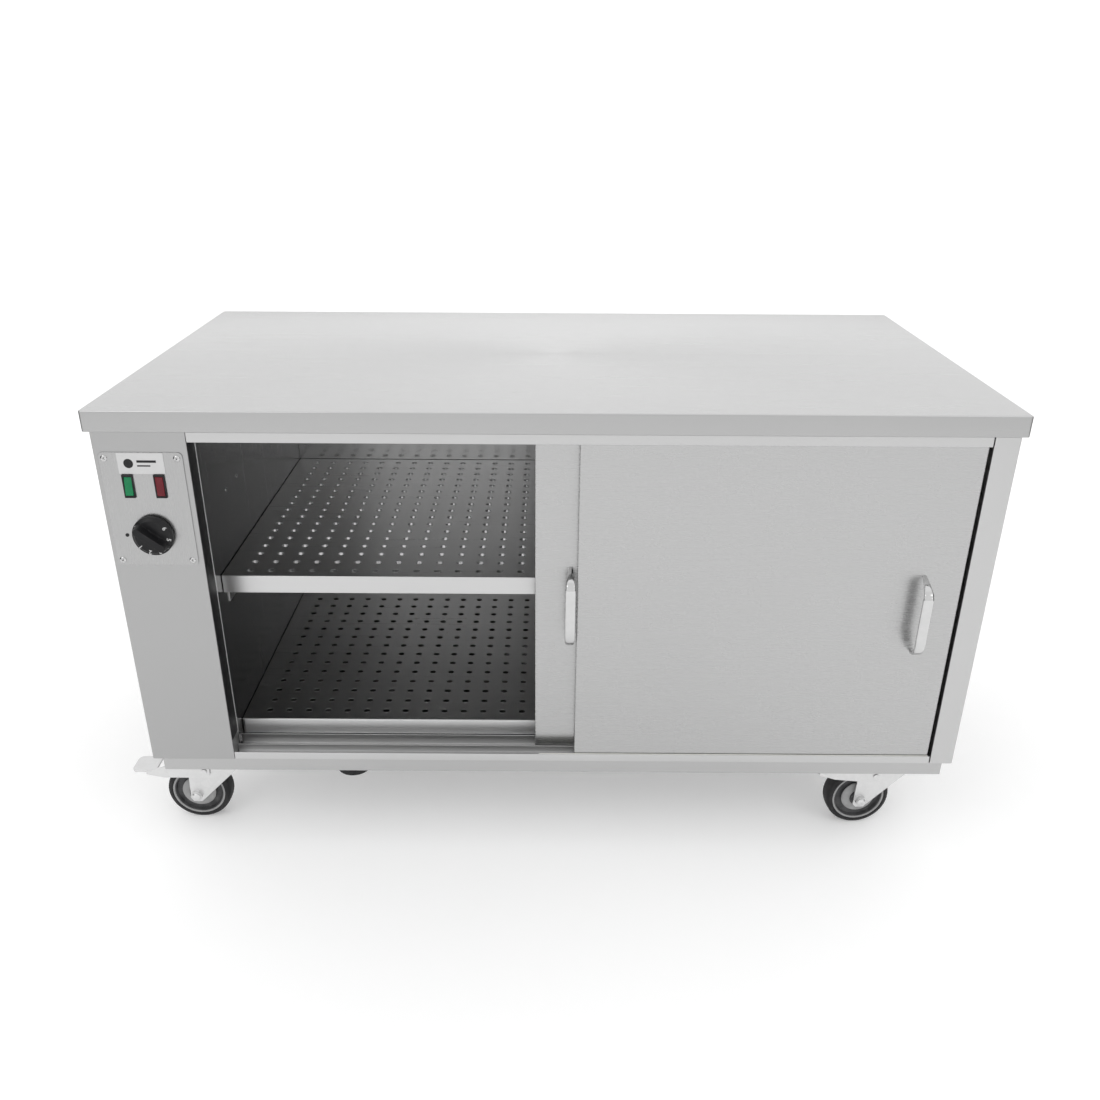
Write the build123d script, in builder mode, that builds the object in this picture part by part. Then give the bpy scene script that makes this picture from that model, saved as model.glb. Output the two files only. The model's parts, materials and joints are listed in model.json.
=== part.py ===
"""Mobile food holding cabinet: heated cupboard on castors, two sliding doors, two perforated shelves.

Millimetres, +Z up, the front faces -Y, the floor is Z = 0 and X = 0 is the centre of the worktop.
Depths are written as distances behind the worktop's front edge and turned into Y by y_at().
"""
from build123d import *

import os

os.makedirs("parts", exist_ok=True)

# ---------------------------------------------------------------- driving dimensions
SHEET = 1.5                     # stainless sheet
TOP_WIDTH = 1200.0
TOP_DEPTH = 650.0
TOP_HEIGHT = 690.0
TOP_RIM = 28.0
TOP_RETURN = 12.0
CORE_THICK = 18.0

BODY_HALF = 591.0               # half the body's width
BODY_FRONT = 1.5                # depth of the body's front face
BODY_BACK = 648.5
BODY_BOTTOM = 163.0
BODY_TOP = TOP_HEIGHT - TOP_RIM
FLANGE = 16.0
FLANGE_END = BODY_BACK - SHEET - 0.2

PLINTH_HALF = 578.0
PLINTH_FRONT = 4.0
PLINTH_BACK = 646.0
PLINTH_BOTTOM = 141.5

FASCIA_RIGHT = -470.0           # control fascia's right edge
STILE_LEFT = 558.0              # right stile's left edge
JAMB_DEPTH = 36.0
RAIL_LEFT, RAIL_RIGHT = -469.5, 556.5
TOP_LIP = 648.5                 # lower edge of the front top rail
BOTTOM_LIP = 175.0              # upper edge of the front bottom rail
RIB_FRONT = 23.0                # rib between the two door tracks
TRACK_BACK = 45.5
TRACK_BACK_TOP = 179.5          # upper edge of the bottom channel's rear flange

CAVITY_LEFT, CAVITY_RIGHT = -474.0, 561.0
CAVITY_FRONT, CAVITY_BACK = 38.0, 590.0
CAVITY_FLOOR = 164.5
CAVITY_ROOF = 650.5

SHELF_LEFT, SHELF_RIGHT = -473.0, 560.0
SHELF_FRONT, SHELF_BACK = 69.0, 588.0
SHELF_TOPS = {"upper_shelf": 431.0, "lower_shelf": 190.5}
SHELF_LIP = 26.5
HOLE_PITCH = 30.0
HOLE_RADIUS = 5.2
HOLE_COLUMNS, HOLE_ROWS = 33, 17
HOLE_CENTRE_X = 43.0
HOLE_CENTRE_DEPTHS = {"upper_shelf": 328.0, "lower_shelf": 334.0}

DOOR_WIDTH = 522.0
DOOR_THICK = 16.0
DOOR_BOTTOM, DOOR_TOP = 168.0, 657.0
DOOR_SKIN = 1.2
RIGHT_DOOR_LEFT, RIGHT_DOOR_DEPTH = 32.0, 4.5
LEFT_DOOR_LEFT, LEFT_DOOR_DEPTH = -26.0, 26.0

HANDLE_LOW, HANDLE_HIGH = 350.0, 468.0
HANDLE_WIDTH = 14.0
HANDLE_REACH = 31.0
HANDLE_BAR = 6.0
RIGHT_HANDLE_X, LEFT_HANDLE_X = 501.0, 22.7

PLATE_LEFT, PLATE_RIGHT = -585.5, -477.0
PLATE_LOW, PLATE_HIGH = 478.0, 635.5
PLATE_SCREWS = [(-578.0, 627.5), (-484.5, 627.5), (-578.0, 485.5), (-484.5, 485.5)]
SWITCH_X, NEON_X, SWITCH_Z = -552.0, -511.0, 590.2
SWITCH_W, SWITCH_H = 14.4, 32.0
CUTOUT_W, CUTOUT_H = 12.0, 29.0
LENS_W, LENS_H = 10.2, 26.0
ROCKER_H = 24.8
KNOB_X, KNOB_Z, KNOB_RADIUS = -530.0, 522.5, 27.0
INDEX_X, INDEX_Z = -566.0, 521.5

CASTOR_X, CASTOR_DEPTH_FRONT, CASTOR_DEPTH_REAR = 523.0, 87.0, 562.0
TRAIL = 38.0
WHEEL_RADIUS, WHEEL_WIDTH, RIM_RADIUS = 50.0, 28.0, 40.0
LEG_INNER, LEG_THICK = 19.5, 3.0
CROWN_TOP = 124.0
AXLE_RADIUS = 5.0
KINGPIN_RADIUS = 6.0
RUNNING = 0.08                  # radial clearance of a pin that turns
PEDAL_PIVOT = (-20.0, 97.0)     # pedal pivot, from the swivel axis
PEDAL_ARM_INNER, PEDAL_ARM_THICK = 23.3, 2.5
PEDAL_LIFT = {"front_left": 0.0, "front_right": 8.0}     # degrees up from level, as each stands

GLAND_X, GLAND_DEPTH = -307.0, 64.0
GLAND_BOTTOM, GLAND_RADIUS = 107.0, 26.0
ELEMENT_RADIUS = 4.0
ELEMENT_Z = 178.0
ELEMENT_RUNS = 6
ELEMENT_PITCH = 76.0
ELEMENT_FIRST = 130.0


def y_at(depth):
    """Y of a point this far behind the worktop's front edge."""
    return depth - TOP_DEPTH / 2


def block(x0, x1, d0, d1, z0, z1, mode=Mode.ADD):
    """A box between two X values, two depths and two heights."""
    with Locations(((x0 + x1) / 2, y_at((d0 + d1) / 2), (z0 + z1) / 2)):
        return Box(abs(x1 - x0), abs(d1 - d0), abs(z1 - z0), mode=mode)


def run_x(points, x0, x1, mode=Mode.ADD):
    """A (depth, Z) outline carried from x0 to x1."""
    with BuildSketch(Plane.YZ.offset(x0), mode=Mode.PRIVATE) as section:
        with BuildLine():
            Polyline(*[(y_at(d), z) for d, z in points], close=True)
        make_face()
    extrude(section.sketch, amount=x1 - x0, mode=mode)


def rod_y(x, z, radius, d0, d1, mode=Mode.ADD):
    """A round bar along the depth direction."""
    with BuildSketch(Plane.XZ.offset(-y_at(d1)), mode=Mode.PRIVATE) as section:
        with Locations((x, z)):
            Circle(radius)
    extrude(section.sketch, amount=d1 - d0, mode=mode)


def rod_x(depth, z, radius, x0, x1, mode=Mode.ADD):
    """A round bar along X."""
    with BuildSketch(Plane.YZ.offset(x0), mode=Mode.PRIVATE) as section:
        with Locations((y_at(depth), z)):
            Circle(radius)
    extrude(section.sketch, amount=x1 - x0, mode=mode)


def rod_z(x, depth, radius, z0, z1, mode=Mode.ADD):
    """An upright round bar."""
    with BuildSketch(Plane.XY.offset(z0), mode=Mode.PRIVATE) as section:
        with Locations((x, y_at(depth))):
            Circle(radius)
    extrude(section.sketch, amount=z1 - z0, mode=mode)


def save(built, name):
    """Label a finished part and write its file."""
    built.part.label = name
    export_step(built.part, f"parts/{name}.step")


# ---------------------------------------------------------------- worktop
with BuildPart() as worktop:
    block(-TOP_WIDTH / 2, TOP_WIDTH / 2, 0, TOP_DEPTH, BODY_TOP, TOP_HEIGHT)
    fillet(worktop.edges().filter_by(Axis.Z), 3.0)
    fillet(worktop.faces().sort_by(Axis.Z)[-1].edges(), 2.2)
    block(-TOP_WIDTH / 2 + SHEET, TOP_WIDTH / 2 - SHEET, SHEET, TOP_DEPTH - SHEET,
          BODY_TOP + SHEET, TOP_HEIGHT - SHEET, mode=Mode.SUBTRACT)
    inner = TOP_RETURN + SHEET
    block(-TOP_WIDTH / 2 + inner, TOP_WIDTH / 2 - inner, inner, TOP_DEPTH - inner,
          BODY_TOP, BODY_TOP + SHEET, mode=Mode.SUBTRACT)
save(worktop, "worktop")

with BuildPart() as worktop_core:
    block(-TOP_WIDTH / 2 + 2.5, TOP_WIDTH / 2 - 2.5, 2.5, TOP_DEPTH - 2.5,
          TOP_HEIGHT - SHEET - CORE_THICK, TOP_HEIGHT - SHEET)
save(worktop_core, "worktop_core")

# ---------------------------------------------------------------- outer body
with BuildPart() as left_side_panel:
    front = BODY_FRONT + SHEET + 0.2
    block(-BODY_HALF, -BODY_HALF + SHEET, front, BODY_BACK, BODY_BOTTOM, BODY_TOP)
    for z in (BODY_BOTTOM, BODY_TOP - SHEET):
        block(-BODY_HALF, -BODY_HALF + FLANGE, front, FLANGE_END, z, z + SHEET)
save(left_side_panel, "left_side_panel")

with BuildPart() as right_side_panel:
    back = BODY_FRONT + SHEET
    block(BODY_HALF - SHEET, BODY_HALF, BODY_FRONT, BODY_BACK, BODY_BOTTOM, BODY_TOP)
    block(STILE_LEFT, BODY_HALF, BODY_FRONT, back, BODY_BOTTOM, BODY_TOP)
    block(STILE_LEFT, STILE_LEFT + SHEET, BODY_FRONT, JAMB_DEPTH, BODY_BOTTOM, BODY_TOP)
    for z in (BODY_BOTTOM, BODY_TOP - SHEET):
        block(BODY_HALF - FLANGE, BODY_HALF, BODY_FRONT, FLANGE_END, z, z + SHEET)
    front_edges = right_side_panel.edges().filter_by(Axis.Z).group_by(Axis.Y)[0]
    fillet(front_edges, 1.0)
save(right_side_panel, "right_side_panel")

with BuildPart() as rear_panel:
    block(-BODY_HALF + SHEET + 0.1, BODY_HALF - SHEET - 0.1, BODY_BACK - SHEET, BODY_BACK,
          BODY_BOTTOM, BODY_TOP)
    for side in (-1, 1):
        flange_x = side * (BODY_HALF - SHEET - 0.1)
        block(flange_x - side * SHEET, flange_x, BODY_BACK - FLANGE, BODY_BACK,
              BODY_BOTTOM + SHEET + 0.2, BODY_TOP - SHEET - 0.2)
    with BuildSketch(Plane.XZ.offset(-y_at(BODY_BACK))):
        with Locations((-532.0, 560.0)):
            with GridLocations(0, 11.0, 1, 9):
                SlotOverall(70.0, 3.2)
    extrude(amount=SHEET, mode=Mode.SUBTRACT)
save(rear_panel, "rear_panel")

with BuildPart() as control_fascia:
    back = BODY_FRONT + SHEET
    block(-BODY_HALF, FASCIA_RIGHT, BODY_FRONT, back, BODY_BOTTOM, BODY_TOP)
    block(FASCIA_RIGHT - SHEET, FASCIA_RIGHT, BODY_FRONT, JAMB_DEPTH, BODY_BOTTOM, BODY_TOP)
    for z in (BODY_BOTTOM, BODY_TOP - SHEET):
        block(-BODY_HALF + FLANGE + 1, FASCIA_RIGHT, BODY_FRONT, 20.0, z, z + SHEET)
    fillet(control_fascia.edges().filter_by(Axis.Z).group_by(Axis.Y)[0], 1.0)
    for x in (SWITCH_X, NEON_X):
        block(x - CUTOUT_W / 2, x + CUTOUT_W / 2, BODY_FRONT, back,
              SWITCH_Z - CUTOUT_H / 2, SWITCH_Z + CUTOUT_H / 2, mode=Mode.SUBTRACT)
    rod_y(KNOB_X, KNOB_Z, 5.5, BODY_FRONT, back, mode=Mode.SUBTRACT)
    for x, z in PLATE_SCREWS + [(INDEX_X, INDEX_Z)]:
        rod_y(x, z, 1.8, BODY_FRONT, back, mode=Mode.SUBTRACT)
save(control_fascia, "control_fascia")

with BuildPart() as base_pan:
    wall = SHEET
    block(-PLINTH_HALF, PLINTH_HALF, PLINTH_FRONT, PLINTH_BACK, PLINTH_BOTTOM, BODY_BOTTOM)
    fillet(base_pan.edges().filter_by(Axis.Z), 2.0)
    fillet(base_pan.faces().sort_by(Axis.Z)[0].edges(), 1.2)
    block(-PLINTH_HALF + wall, PLINTH_HALF - wall, PLINTH_FRONT + wall, PLINTH_BACK - wall,
          PLINTH_BOTTOM + wall, BODY_BOTTOM, mode=Mode.SUBTRACT)
    for x in (-474.0, -200.0, 40.0, 300.0, 546.0):
        block(x, x + SHEET, PLINTH_FRONT + wall, PLINTH_BACK - wall,
              PLINTH_BOTTOM + wall, BODY_BOTTOM)
    rod_z(GLAND_X, GLAND_DEPTH, 16.3, PLINTH_BOTTOM, PLINTH_BOTTOM + wall, mode=Mode.SUBTRACT)
    for x in (-CASTOR_X, CASTOR_X):
        for depth in (CASTOR_DEPTH_FRONT, CASTOR_DEPTH_REAR):
            with Locations((x, y_at(depth), PLINTH_BOTTOM + wall / 2)):
                with GridLocations(74.0, 58.0, 2, 2):
                    Cylinder(4.2, wall, mode=Mode.SUBTRACT)
save(base_pan, "base_pan")

# ---------------------------------------------------------------- door tracks
with BuildPart() as top_track:
    run_x([(BODY_FRONT, TOP_LIP), (BODY_FRONT, BODY_TOP), (TRACK_BACK, BODY_TOP),
           (TRACK_BACK, TOP_LIP), (TRACK_BACK - SHEET, TOP_LIP), (TRACK_BACK - SHEET, BODY_TOP - SHEET),
           (RIB_FRONT + SHEET, BODY_TOP - SHEET), (RIB_FRONT + SHEET, TOP_LIP + 1.5),
           (RIB_FRONT, TOP_LIP + 1.5), (RIB_FRONT, BODY_TOP - SHEET),
           (BODY_FRONT + SHEET, BODY_TOP - SHEET), (BODY_FRONT + SHEET, TOP_LIP)],
          RAIL_LEFT, RAIL_RIGHT)
    fillet(top_track.edges().filter_by(Axis.X).group_by(Axis.Y)[0].sort_by(Axis.Z)[0], 0.6)
save(top_track, "top_track")

with BuildPart() as bottom_track:
    floor_top = BODY_BOTTOM + SHEET
    run_x([(BODY_FRONT, BODY_BOTTOM), (BODY_FRONT, BOTTOM_LIP), (BODY_FRONT + SHEET, BOTTOM_LIP),
           (BODY_FRONT + SHEET, floor_top), (RIB_FRONT, floor_top), (RIB_FRONT, BOTTOM_LIP),
           (RIB_FRONT + SHEET, BOTTOM_LIP), (RIB_FRONT + SHEET, floor_top),
           (TRACK_BACK - SHEET, floor_top), (TRACK_BACK - SHEET, TRACK_BACK_TOP),
           (TRACK_BACK, TRACK_BACK_TOP), (TRACK_BACK, BODY_BOTTOM)],
          RAIL_LEFT, RAIL_RIGHT)
    fillet(bottom_track.edges().filter_by(Axis.X).group_by(Axis.Y)[0], 0.7)
save(bottom_track, "bottom_track")

# ---------------------------------------------------------------- cavity lining
ELEMENT_ENDS = (ELEMENT_FIRST, ELEMENT_FIRST + ELEMENT_PITCH * (ELEMENT_RUNS - 1))
BULB_DEPTHS, BULB_Z = (300.0, 400.0), 620.0
RIVETS = [(144.0, 533.0), (199.0, 534.0)]

with BuildPart() as liner_left:
    block(CAVITY_LEFT - SHEET, CAVITY_LEFT, CAVITY_FRONT, CAVITY_BACK + SHEET,
          CAVITY_FLOOR, CAVITY_ROOF)
    for depth in ELEMENT_ENDS:
        rod_x(depth, ELEMENT_Z, 4.4, CAVITY_LEFT - SHEET, CAVITY_LEFT, mode=Mode.SUBTRACT)
    rod_x(BULB_DEPTHS[0] - 12, BULB_Z, 2.0, CAVITY_LEFT - SHEET, CAVITY_LEFT, mode=Mode.SUBTRACT)
    for depth, z in RIVETS:
        rod_x(depth, z, 1.7, CAVITY_LEFT - SHEET, CAVITY_LEFT, mode=Mode.SUBTRACT)
save(liner_left, "liner_left")

with BuildPart() as liner_right:
    block(CAVITY_RIGHT, CAVITY_RIGHT + SHEET, CAVITY_FRONT, CAVITY_BACK + SHEET,
          CAVITY_FLOOR, CAVITY_ROOF)
save(liner_right, "liner_right")

with BuildPart() as liner_back:
    block(CAVITY_LEFT, CAVITY_RIGHT, CAVITY_BACK, CAVITY_BACK + SHEET, CAVITY_FLOOR, CAVITY_ROOF)
save(liner_back, "liner_back")

with BuildPart() as liner_ceiling:
    block(CAVITY_LEFT - SHEET, CAVITY_RIGHT + SHEET, TRACK_BACK + 0.5, CAVITY_BACK + SHEET,
          CAVITY_ROOF, CAVITY_ROOF + SHEET)
save(liner_ceiling, "liner_ceiling")

with BuildPart() as liner_floor:
    block(CAVITY_LEFT - SHEET, CAVITY_RIGHT + SHEET, TRACK_BACK + 0.5, CAVITY_BACK + SHEET,
          CAVITY_FLOOR - SHEET, CAVITY_FLOOR)
save(liner_floor, "liner_floor")

with BuildPart() as liner_rivets:
    for depth, z in RIVETS:
        rod_x(depth, z, 1.6, CAVITY_LEFT - SHEET - 1, CAVITY_LEFT)
        with BuildSketch(Plane.YZ.offset(CAVITY_LEFT)):
            with Locations((y_at(depth), z)):
                Circle(3.2)
        extrude(amount=1.0, taper=35)
save(liner_rivets, "liner_rivets")

with BuildPart() as insulation_boards:
    block(CAVITY_RIGHT + 2.0, BODY_HALF - 3.0, 50.0, CAVITY_BACK, 166.0, 650.0)
    block(CAVITY_LEFT, CAVITY_RIGHT, CAVITY_BACK + 3.0, 643.0, 166.0, 650.0)
    block(CAVITY_LEFT - 28.0, CAVITY_LEFT - 3.0, 50.0, CAVITY_BACK - 2, 200.0, 610.0)
    block(CAVITY_LEFT, CAVITY_RIGHT, 48.0, CAVITY_BACK, CAVITY_ROOF + 2.0, 669.5)
save(insulation_boards, "insulation_boards")

# ---------------------------------------------------------------- shelves
for shelf_name, shelf_top in SHELF_TOPS.items():
    lip_bottom = max(shelf_top - SHELF_LIP, CAVITY_FLOOR + 0.8)
    seat = 404.0 if shelf_name == "upper_shelf" else CAVITY_FLOOR
    with BuildPart() as shelf:
        block(SHELF_LEFT, SHELF_RIGHT, SHELF_FRONT, SHELF_BACK, lip_bottom, shelf_top)
        front_top = shelf.edges().filter_by(Axis.X).group_by(Axis.Y)[0].sort_by(Axis.Z)[-1]
        fillet(front_top, 1.8)
        block(SHELF_LEFT + SHEET, SHELF_RIGHT - SHEET, SHELF_FRONT + SHEET, SHELF_BACK - SHEET,
              lip_bottom, shelf_top - SHEET, mode=Mode.SUBTRACT)
        for x in (SHELF_LEFT, SHELF_RIGHT - SHEET):
            block(x, x + SHEET, SHELF_FRONT + 4, SHELF_BACK, seat, lip_bottom + 1)
        if shelf_name == "lower_shelf":
            for depth in ELEMENT_ENDS:
                block(SHELF_LEFT, SHELF_LEFT + SHEET, depth - 7, depth + 7, seat, ELEMENT_Z + 7,
                      mode=Mode.SUBTRACT)
        with BuildSketch(Plane.XY.offset(shelf_top)):
            with Locations((HOLE_CENTRE_X, y_at(HOLE_CENTRE_DEPTHS[shelf_name]))):
                with GridLocations(HOLE_PITCH, HOLE_PITCH, HOLE_COLUMNS, HOLE_ROWS):
                    Circle(HOLE_RADIUS)
        extrude(amount=-SHEET, mode=Mode.SUBTRACT)
    save(shelf, shelf_name)

with BuildPart() as shelf_supports:
    for wall_x, side in ((CAVITY_LEFT, 1), (CAVITY_RIGHT, -1)):
        block(wall_x, wall_x + side * SHEET, 90.0, 570.0, 380.0, 404.0)
        block(wall_x, wall_x + side * 24.0, 90.0, 570.0, 404.0 - SHEET, 404.0)
save(shelf_supports, "shelf_supports")

# ---------------------------------------------------------------- heating
with BuildPart() as heating_element:
    x_in, x_out, x_end = CAVITY_LEFT - 14.0, 430.0, -420.0
    depths = [ELEMENT_FIRST + ELEMENT_PITCH * i for i in range(ELEMENT_RUNS)]
    bend = ELEMENT_PITCH / 2
    with BuildLine(Plane.XY.offset(ELEMENT_Z)) as path:
        for i, depth in enumerate(depths):
            y = y_at(depth)
            left = x_in if i in (0, ELEMENT_RUNS - 1) else x_end
            Line((left, y), (x_out, y)) if i % 2 == 0 else Line((x_out, y), (left, y))
            if i < ELEMENT_RUNS - 1:
                bend_x = x_out if i % 2 == 0 else x_end
                bulge = bend if i % 2 == 0 else -bend
                ThreePointArc((bend_x, y), (bend_x + bulge, y + bend), (bend_x, y + 2 * bend))
    with BuildSketch(Plane.YZ.offset(x_in)):
        with Locations((y_at(depths[0]), ELEMENT_Z)):
            Circle(ELEMENT_RADIUS)
    sweep(path=path.wires()[0])
save(heating_element, "heating_element")

with BuildPart() as element_brackets:
    for x in (-380.0, 20.0, 400.0):
        block(x, x + SHEET, ELEMENT_ENDS[0] - 14, ELEMENT_ENDS[1] + 14,
              CAVITY_FLOOR, ELEMENT_Z - ELEMENT_RADIUS)
        block(x, x + 12.0, ELEMENT_ENDS[0] - 14, ELEMENT_ENDS[1] + 14,
              CAVITY_FLOOR, CAVITY_FLOOR + SHEET)
save(element_brackets, "element_brackets")

# ---------------------------------------------------------------- controls
with BuildPart() as control_plate:
    block(PLATE_LEFT, PLATE_RIGHT, 0, BODY_FRONT, PLATE_LOW, PLATE_HIGH)
    fillet(control_plate.edges().filter_by(Axis.Y), 6.0)
    fillet(control_plate.faces().sort_by(Axis.Y)[0].edges(), 0.4)
    for x in (SWITCH_X, NEON_X):
        block(x - CUTOUT_W / 2, x + CUTOUT_W / 2, 0, BODY_FRONT,
              SWITCH_Z - CUTOUT_H / 2, SWITCH_Z + CUTOUT_H / 2, mode=Mode.SUBTRACT)
    rod_y(KNOB_X, KNOB_Z, 5.5, 0, BODY_FRONT, mode=Mode.SUBTRACT)
    for x, z in PLATE_SCREWS + [(INDEX_X, INDEX_Z)]:
        rod_y(x, z, 1.8, 0, BODY_FRONT, mode=Mode.SUBTRACT)
save(control_plate, "control_plate")

with BuildPart() as plate_screws:
    for x, z in PLATE_SCREWS:
        rod_y(x, z, 1.7, -0.5, 9.0)
        with BuildSketch(Plane.XZ.offset(-y_at(0))):
            with Locations((x, z)):
                Circle(4.4)
        extrude(amount=1.8, taper=30)
        for angle in (0, 90):
            with BuildSketch(Plane.XZ.offset(-y_at(-1.8))):
                with Locations(Location((x, z, 0), 45 + angle)):
                    Rectangle(4.6, 0.9)
            extrude(amount=-0.9, mode=Mode.SUBTRACT)
save(plate_screws, "plate_screws")

with BuildPart() as label_plate:
    block(-561.5, -501.5, -0.6, 0, 606.8, 635.0)
    fillet(label_plate.edges().filter_by(Axis.Y), 1.0)
save(label_plate, "label_plate")

with BuildPart() as dial_index:
    rod_y(INDEX_X, INDEX_Z, 1.7, -0.2, 6.0)
    rod_y(INDEX_X, INDEX_Z, 2.4, -0.7, 0)
save(dial_index, "dial_index")

for housing_name, x in (("switch_housing", SWITCH_X), ("neon_housing", NEON_X)):
    with BuildPart() as housing:
        block(x - SWITCH_W / 2, x + SWITCH_W / 2, -2.2, 0,
              SWITCH_Z - SWITCH_H / 2, SWITCH_Z + SWITCH_H / 2)
        fillet(housing.edges().filter_by(Axis.Y), 1.0)
        fillet(housing.faces().sort_by(Axis.Y)[0].edges(), 0.5)
        block(x - CUTOUT_W / 2 + 0.2, x + CUTOUT_W / 2 - 0.2, 0, 24.0,
              SWITCH_Z - CUTOUT_H / 2 + 0.2, SWITCH_Z + CUTOUT_H / 2 - 0.2)
        block(x - LENS_W / 2 - 0.35, x + LENS_W / 2 + 0.35, -2.2, 12.0,
              SWITCH_Z - LENS_H / 2 - 0.4, SWITCH_Z + LENS_H / 2 + 0.4, mode=Mode.SUBTRACT)
        for dz in (-8.0, 0.0, 8.0):
            block(x - 3.2, x + 3.2, 24.0, 32.0, SWITCH_Z + dz - 0.4, SWITCH_Z + dz + 0.4)
    save(housing, housing_name)

with BuildPart() as switch_rocker:
    half = ROCKER_H / 2
    run_x([(9.0, SWITCH_Z - 3.5), (2.0, SWITCH_Z - half + 0.5), (-3.6, SWITCH_Z - half),
           (-2.2, SWITCH_Z - 1.5), (-1.9, SWITCH_Z + 1.5), (-0.6, SWITCH_Z + half),
           (4.0, SWITCH_Z + half - 0.5), (9.0, SWITCH_Z + 3.5)],
          SWITCH_X - LENS_W / 2, SWITCH_X + LENS_W / 2)
    fillet(switch_rocker.edges().filter_by(Axis.X).group_by(Axis.Y)[0], 0.6)
save(switch_rocker, "switch_rocker")

with BuildPart() as neon_lens:
    block(NEON_X - LENS_W / 2, NEON_X + LENS_W / 2, -2.9, 6.0,
          SWITCH_Z - LENS_H / 2, SWITCH_Z + LENS_H / 2)
    fillet(neon_lens.faces().sort_by(Axis.Y)[0].edges(), 0.8)
save(neon_lens, "neon_lens")

with BuildPart() as thermostat_body:
    block(KNOB_X - 17, KNOB_X + 17, 8.0, 36.0, KNOB_Z - 17, KNOB_Z + 17)
    fillet(thermostat_body.edges().filter_by(Axis.Y), 3.0)
    rod_y(KNOB_X, KNOB_Z, 5.2, 0.2, 8.0)
    rod_y(KNOB_X, KNOB_Z, 9.0, BODY_FRONT + SHEET, 8.0)
    rod_y(KNOB_X, KNOB_Z, 3.0 + RUNNING, 0.2, 22.0, mode=Mode.SUBTRACT)
    for dx in (-9.0, 9.0):
        block(KNOB_X + dx - 3.2, KNOB_X + dx + 3.2, 36.0, 46.0, KNOB_Z - 0.4, KNOB_Z + 0.4)
save(thermostat_body, "thermostat_body")

with BuildPart() as dial_spindle:
    rod_y(KNOB_X, KNOB_Z, 3.0, -14.0, 20.0)
save(dial_spindle, "dial_spindle")

with BuildPart() as dial_knob:
    with BuildSketch(Plane.XZ.offset(-y_at(-1.5))):
        with Locations((KNOB_X, KNOB_Z)):
            Circle(KNOB_RADIUS)
    extrude(amount=5.5)
    with BuildSketch(Plane.XZ.offset(-y_at(-7.0))):
        with Locations((KNOB_X, KNOB_Z)):
            Circle(KNOB_RADIUS - 1.0)
    extrude(amount=3.0, taper=50)
    grip_turn = Location((KNOB_X, KNOB_Z, 0), 142)
    with BuildSketch(Plane.XZ.offset(-y_at(-9.5))) as grip_face:
        with Locations(grip_turn):
            RectangleRounded(50.0, 13.0, 6.2)
    extrude(amount=14.0, taper=7)
    for side in (-1, 1):
        with BuildSketch(Plane.XZ.offset(-y_at(-10.5))):
            with Locations(grip_turn * Location((0, side * 27.0, 0))):
                Circle(22.5)
        extrude(amount=14.0, mode=Mode.SUBTRACT)
    rod_y(KNOB_X, KNOB_Z, 3.0, -14.0, -1.5, mode=Mode.SUBTRACT)
save(dial_knob, "dial_knob")

with BuildPart() as thermostat_bulb:
    rod_y(CAVITY_LEFT + 6.0, BULB_Z, 3.0, *BULB_DEPTHS)
    elbow = BULB_DEPTHS[0] - 12.0
    rod_y(CAVITY_LEFT + 6.0, BULB_Z, 1.2, elbow, BULB_DEPTHS[0])
    rod_x(elbow, BULB_Z, 1.2, CAVITY_LEFT - 20, CAVITY_LEFT + 6.0)
    block(CAVITY_LEFT + 4.0, CAVITY_LEFT + 8.0, elbow - 2.0, elbow + 2.0, BULB_Z - 2.0, BULB_Z + 2.0)
    for depth in (BULB_DEPTHS[0] + 20, BULB_DEPTHS[1] - 20):
        block(CAVITY_LEFT, CAVITY_LEFT + 8, depth - 4, depth + 4, BULB_Z - 4, BULB_Z + 4)
save(thermostat_bulb, "thermostat_bulb")

with BuildPart() as safety_cutout:
    block(-540.0, -514.0, 100.0, 126.0, 420.0, 434.0)
    rod_z(-527.0, 113.0, 9.0, 434.0, 440.0)
    block(-589.5, -514.0, 100.0, 126.0, 418.5, 420.0)
save(safety_cutout, "safety_cutout")

with BuildPart() as terminal_block:
    block(-572.0, -510.0, 560.0, 584.0, BODY_BOTTOM + SHEET, BODY_BOTTOM + SHEET + 20.0)
    block(-575.0, -480.0, 552.0, 592.0, BODY_BOTTOM, BODY_BOTTOM + SHEET)
    for i in range(5):
        rod_z(-566.0 + 12.5 * i, 566.0, 3.0, 180.0, 185.0, mode=Mode.SUBTRACT)
        rod_z(-566.0 + 12.5 * i, 578.0, 3.0, 180.0, 185.0, mode=Mode.SUBTRACT)
save(terminal_block, "terminal_block")

with BuildPart() as cable_gland:
    rod_z(GLAND_X, GLAND_DEPTH, GLAND_RADIUS, GLAND_BOTTOM, 130.0)
    fillet(cable_gland.faces().sort_by(Axis.Z)[0].edges(), 2.5)
    with BuildSketch(Plane.XY.offset(130.0)):
        with Locations((GLAND_X, y_at(GLAND_DEPTH))):
            RegularPolygon(28.0, 6)
    extrude(amount=PLINTH_BOTTOM - 130.0)
    rod_z(GLAND_X, GLAND_DEPTH, 16.0, PLINTH_BOTTOM, 154.0)
    with BuildSketch(Plane.XY.offset(PLINTH_BOTTOM + SHEET)):
        with Locations((GLAND_X, y_at(GLAND_DEPTH))):
            RegularPolygon(23.0, 6)
    extrude(amount=6.0)
    rod_z(GLAND_X, GLAND_DEPTH, 6.5, GLAND_BOTTOM, 154.0, mode=Mode.SUBTRACT)
save(cable_gland, "cable_gland")

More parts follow.
